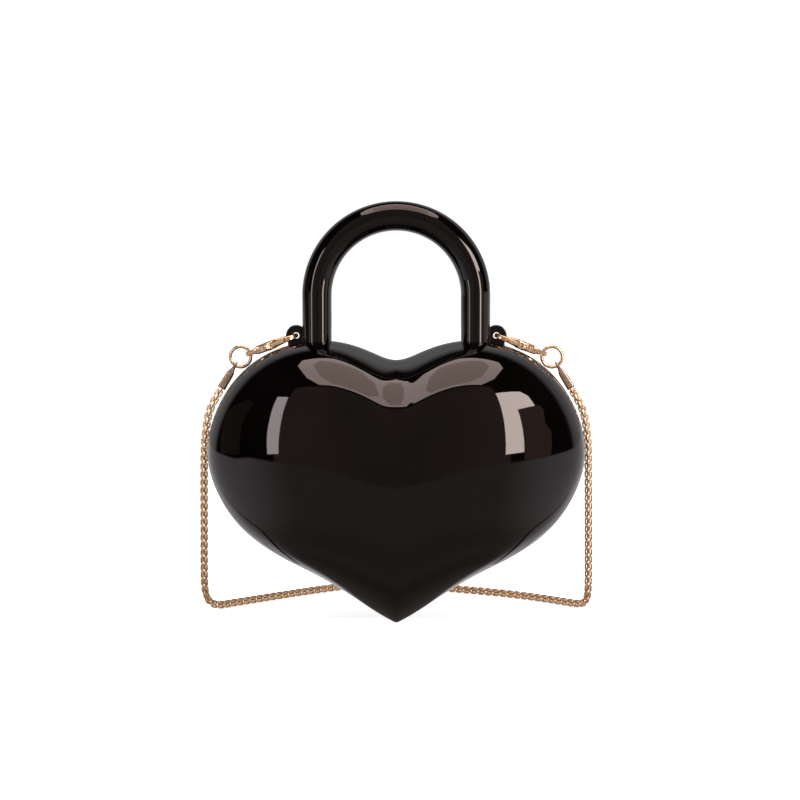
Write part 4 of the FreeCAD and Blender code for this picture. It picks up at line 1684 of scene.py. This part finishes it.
@dataclass(frozen=True)
class Room:
    """The world: white to the camera, and for mirrored rays a dark room with a white backdrop behind.

    Bearings from the front and heights are in degrees. Each pair holds the two ends of a soft step.
    """

    panel_middle: Colour = (0.21, 0.16, 0.125)
    panel_sides: Colour = (0.275, 0.19, 0.165)
    low_front: Colour = (0.30, 0.245, 0.235)
    low_under: Colour = (0.20, 0.17, 0.165)
    low_aside: Colour = (0.72, 0.68, 0.67)
    low_behind: Colour = (0.80, 0.79, 0.79)
    high_behind: Colour = (0.52, 0.50, 0.50)
    far_behind: Colour = (0.20, 0.195, 0.195)
    dark: Colour = (0.006, 0.005, 0.004)
    fill: Colour = (0.75, 0.74, 0.73)
    white: Colour = (1.0, 1.0, 1.0)
    least_forward: float = 0.001
    middle_bearings: Pair = (6.0, 32.0)
    panel_left: Pair = (-41.3, -40.7)
    panel_right: Pair = (37.3, 36.7)
    panel_top: Pair = (1.44, 1.40)
    horizon_bearings: Pair = (0.0, 26.0)
    horizon_rise: float = 5.5
    horizon_front: float = -5.0
    dip_bearings: Pair = (-55.0, -75.0)
    dip: float = 3.0
    horizon_haze: Pair = (0.9, -0.9)
    under_heights: Pair = (-30.0, -62.0)
    aside_shares: Pair = (0.5, 0.95)
    behind_shares: Pair = (0.2, 0.8)
    far_shares: Pair = (0.72, 1.0)
    backdrop_slope: float = -0.40
    backdrop_middle: float = 0.60
    backdrop_least: float = 0.28
    backdrop_tilt: float = 0.08
    backdrop_haze: Pair = (-0.07, 0.16)

    def mirrored(self, nodes: Nodes, x: Socket, y: Socket, z: Socket) -> Socket:
        """What mirrored rays see.

        Args:
            nodes: The world's nodes.
            x: How much a ray points to the right.
            y: How much it points to the back.
            z: How much it points up.

        Returns:
            The socket with the colour.
        """
        maths, ramp, mix = nodes.maths, nodes.ramp, nodes.mix
        forward = maths("MULTIPLY", y, -1.0)
        bearing = maths("DEGREES", maths("ARCTAN2", x, forward))
        height = maths("DEGREES", maths("ARCSINE", z))
        steepness = maths("DIVIDE", z, maths("MAXIMUM", forward, self.least_forward))
        aside, wide = maths("ABSOLUTE", bearing), maths("ABSOLUTE", x)
        panel = mix(ramp(aside, *self.middle_bearings), self.panel_middle, self.panel_sides)
        inside = maths("MULTIPLY", ramp(bearing, *self.panel_left), ramp(bearing, *self.panel_right))
        inside = maths("MULTIPLY", inside, ramp(steepness, *self.panel_top))
        rise = ramp(aside, *self.horizon_bearings)
        horizon = maths("MULTIPLY_ADD", rise, self.horizon_rise, self.horizon_front)
        horizon = maths("SUBTRACT", horizon, maths("MULTIPLY", ramp(bearing, *self.dip_bearings), self.dip))
        low = ramp(maths("SUBTRACT", height, horizon), *self.horizon_haze)
        low_colour = mix(ramp(height, *self.under_heights), self.low_front, self.low_under)
        low_colour = mix(ramp(wide, *self.aside_shares), low_colour, self.low_aside)
        low_colour = mix(ramp(y, *self.behind_shares), low_colour, self.low_behind)
        edge = maths("MULTIPLY_ADD", wide, self.backdrop_slope, self.backdrop_middle)
        edge = maths("MAXIMUM", edge, self.backdrop_least)
        past_edge = maths("SUBTRACT", maths("MULTIPLY_ADD", x, self.backdrop_tilt, y), edge)
        high_colour = mix(ramp(y, *self.far_shares), self.high_behind, self.far_behind)
        seen = mix(inside, self.dark, panel)
        seen = mix(ramp(past_edge, *self.backdrop_haze), seen, high_colour)
        return mix(low, seen, low_colour)

    def build(self) -> None:
        """Make the world and its nodes."""
        world = bpy.data.worlds.new("room")
        bpy.context.scene.world = world
        world.use_nodes = True
        nodes = Nodes(world.node_tree)
        nodes.tree.nodes.clear()
        parts = nodes.node("ShaderNodeSeparateXYZ")
        nodes.join(nodes.node("ShaderNodeTexCoord").outputs["Generated"], parts.inputs[0])
        rays = nodes.node("ShaderNodeLightPath").outputs
        colour = nodes.mix(rays["Is Glossy Ray"], self.fill, self.mirrored(nodes, *parts.outputs))
        straight = nodes.maths("MAXIMUM", rays["Is Camera Ray"], rays["Is Transmission Ray"])
        sky = nodes.node("ShaderNodeBackground")
        nodes.join(nodes.mix(straight, colour, self.white), sky.inputs["Color"])
        nodes.join(sky.outputs[0], nodes.node("ShaderNodeOutputWorld").inputs[0])


@dataclass
class Studio:
    """The table, the room that the lacquer mirrors, the light and the camera."""

    room: Room = field(default_factory=Room)
    camera_place: Place = (0.00186, -1.0, -0.0059)
    camera_aim: Place = (0.00186, 0.0, -0.0924)
    lens: float = 89.6
    sensor: float = 36.0
    cards: tuple[Card | Overhead, ...] = (
        Card("softbox_left", (
            (-42.3, -96), (-48, -100), (-49.3, -60), (-51.6, 36), (-52.5, 88), (-44.7, 98), (-44, 16)),
            (6.0, 5.3, 5.3)),
        Card("softbox_right", (
            (38.3, -96), (47.5, -95), (49.5, 22), (57.3, 26), (64, 32), (63.6, 80), (59.6, 113), (40.4, 135),
            (39.7, 2)), (11.5, 9.4, 8.7)),
        Card("block_left", (
            (-67, -113), (-70.6, -14), (-68, 40), (-77, 48), (-100, -18), (-91, -125)), (0.10, 0.07, 0.05)),
        Card("block_right", (
            (47.7, -113), (60, -118), (65.5, -111), (69, -55), (65.7, -31), (69.8, 9), (68, 27), (49.6, 22)),
            (0.40, 0.25, 0.21), 0.29),
        Overhead("softbox_overhead", (
            (-0.41, -0.46), (-0.34, -0.66), (0.42, -0.66), (0.50, -0.46), (0.50, -0.06), (0.42, 0.11),
            (0.0, 0.20), (-0.34, 0.11), (-0.41, -0.06)), 1.0, (4.3, 3.35, 3.1)),
        Overhead("softbox_middle", (
            (-0.26, -0.44), (-0.17, -0.60), (0.26, -0.60), (0.36, -0.44), (0.36, -0.10), (0.26, 0.06),
            (-0.17, 0.06), (-0.26, -0.10)), 0.99, (2.9, 2.15, 1.85)))
    metal_lamps: tuple[Lamp, ...] = (
        Lamp("lamp_front", (0.0, -1.3, 0.35), 0.9, 8.5), Lamp("lamp_low", (0.0, -1.2, -0.45), 0.9, 4.0),
        Lamp("lamp_left", (-1.0, -0.5, 0.5), 0.6, 4.0), Lamp("lamp_right", (1.0, -0.5, 0.5), 0.6, 4.0))
    chain_lamp_share: float = 0.75
    fitting_lamp_share: float = 0.1
    wire_bends: Corners = (
        (-0.204, 0.068), (-0.166, 0.029), (-0.145, 0.010), (-0.126, -0.006), (-0.108, -0.011),
        (-0.092, -0.003), (-0.080, 0.009), (-0.070, 0.021), (-0.062, 0.034))
    wire_radius: float = 0.0019
    wire_steps: int = 12
    shade_y: float = -0.004
    shade_half: Pair = (0.088, 0.030)
    shade_margin: float = 1.3
    shade_steps: int = 48
    shade_edge: Pair = (1.25, 0.7)
    shade_glow: Colour = (0.105, 0.09, 0.086)
    table_front: float = 0.0125
    table_reach: float = 3.0
    lower_drop: float = 0.13
    paper_grey: float = 0.85
    paper_glow: float = 0.68
    paper_roughness: float = 0.9

    def camera(self) -> None:
        """Set up the photograph's camera."""
        data = bpy.data.cameras.new("camera")
        data.lens = self.lens
        data.sensor_width = self.sensor
        item = add_object("camera", data)
        aim(item, self.camera_place, self.camera_aim)
        bpy.context.scene.camera = item

    def wires(self) -> None:
        """Dark wires on the table, which only the lower flanks mirror, as the strap's image."""
        for hand in Hand:
            path = np.array([(-hand.value * x, y, TIP_Z + self.wire_radius) for x, y in self.wire_bends])
            section = round_section(self.wire_radius, self.wire_steps)
            points, faces = sweep(path, (0, 0, 1), section, False)
            item = mesh_object(hand.named("mirrored_wire"), points, faces)
            only_mirrored(glow_card(item, self.room.dark))

    def shade(self) -> None:
        """Painted shadow: a dark sheet on the table under the bag, with a soft edge, that only the lacquer
        mirrors, in place of the bag's own shadow there.
        """
        wide, deep = self.shade_half
        margin = self.shade_margin
        outline = round_section(margin * wide, self.shade_steps, second=margin * deep)
        item = flat_object("table_shade", in_space(outline))
        item.location = (0, self.shade_y, TIP_Z)
        shader = Shader("table_shade")
        shares = shader.node("ShaderNodeMapping", Scale=(1 / wide, 1 / deep, 0))
        reach = shader.node("ShaderNodeVectorMath", operation="LENGTH")
        shader.join(shader.node("ShaderNodeTexCoord").outputs["Object"], shares.inputs["Vector"])
        shader.join(shares.outputs["Vector"], reach.inputs[0])
        shader.set_main(
            Base_Color=(0, 0, 0, 1), Specular_IOR_Level=0.0, Emission_Color=(*self.shade_glow, 1),
            Emission_Strength=1.0, Alpha=shader.ramp(reach.outputs["Value"], *self.shade_edge))
        dress(item, shader.material)
        item.visible_camera = False
        only_mirrored(item)

    def lamps(self, group_name: str, pieces: Sequence[Piece], share: float) -> None:
        """Light a few pieces alone, which the lacquer doesn't mirror.

        Args:
            group_name: What the pieces are called together.
            pieces: The pieces to light.
            share: The share of the lamps' full power.
        """
        group = bpy.data.collections.new(f"lit_{group_name}")
        for piece in pieces:
            group.objects.link(piece)
        for lamp in self.metal_lamps:
            name = f"{lamp.name}_{group_name}"
            data = bpy.data.lights.new(name, "AREA")
            data.size = lamp.size
            data.energy = lamp.watts * share
            item = add_object(name, data)
            aim(item, lamp.place, BODY_MIDDLE)
            item.light_linking.receiver_collection = group
            item.visible_camera = False

    def table(self) -> None:
        """A pale table behind the hinge, and a lower floor in front of it for the lid to swing over."""
        far = self.table_reach
        spans = [("table", self.table_front, far, TIP_Z),
                 ("lower_floor", -far, self.table_front, TIP_Z - self.lower_drop)]
        for name, front, back, z in spans:
            item = flat_object(name, [(-far, front, z), (far, front, z), (far, back, z), (-far, back, z)])
            dress(item, self.paper(name))
            item.visible_glossy = False

    def paper(self, name: str) -> Finish:
        """White paper that is white to the camera and keeps soft shadows.

        Args:
            name: What it lies on.

        Returns:
            The material.
        """
        shader = Shader(f"{name}_paper")
        seen = shader.node("ShaderNodeLightPath").outputs["Is Camera Ray"]
        grey = self.paper_grey
        shader.set_main(
            Base_Color=(grey, grey, grey, 1), Roughness=self.paper_roughness, Emission_Color=(1, 1, 1, 1),
            Emission_Strength=shader.maths("MULTIPLY", seen, self.paper_glow))
        return shader.material

    def build(self) -> None:
        """Set up the whole studio but the lamps."""
        bpy.context.scene.view_settings.view_transform = "Standard"
        self.camera()
        for card in self.cards:
            card.build()
        self.wires()
        self.shade()
        self.table()
        self.room.build()


def dress_frame(palette: Palette) -> None:
    """Give the solids that stay in view their finishes."""
    finishes = {
        palette.steel: ("handle_screws", "handle_washers", "lug_screws", "hinge_pin"),
        palette.nickel: ("front_magnets", "rear_magnets")}
    for material, nodes in finishes.items():
        for node in nodes:
            dress(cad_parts[node], material)


def main() -> None:
    """Build the studio and every sub-assembly, and report each piece."""
    logging.basicConfig(level=logging.INFO, format="%(name)s: %(message)s")
    studio = Studio()
    studio.build()
    palette = Palette()
    fittings = Fittings(palette).build()
    chain = BoxChain(palette).build(fittings)
    pieces = [chain, *fittings]
    studio.lamps("chain", [chain], studio.chain_lamp_share)
    studio.lamps("fittings", fittings, studio.fitting_lamp_share)
    body = Body(palette)
    pieces += body.build()
    pieces += Liners(palette, body.form).build()
    pieces.append(Handle(palette).build())
    pieces += [Lug(palette).build(hand) for hand in Hand]
    dress_frame(palette)
    for piece in pieces:
        log.info("%s: %d faces", piece.name, len(piece.data.polygons))


if __name__ == "__main__":
    main()
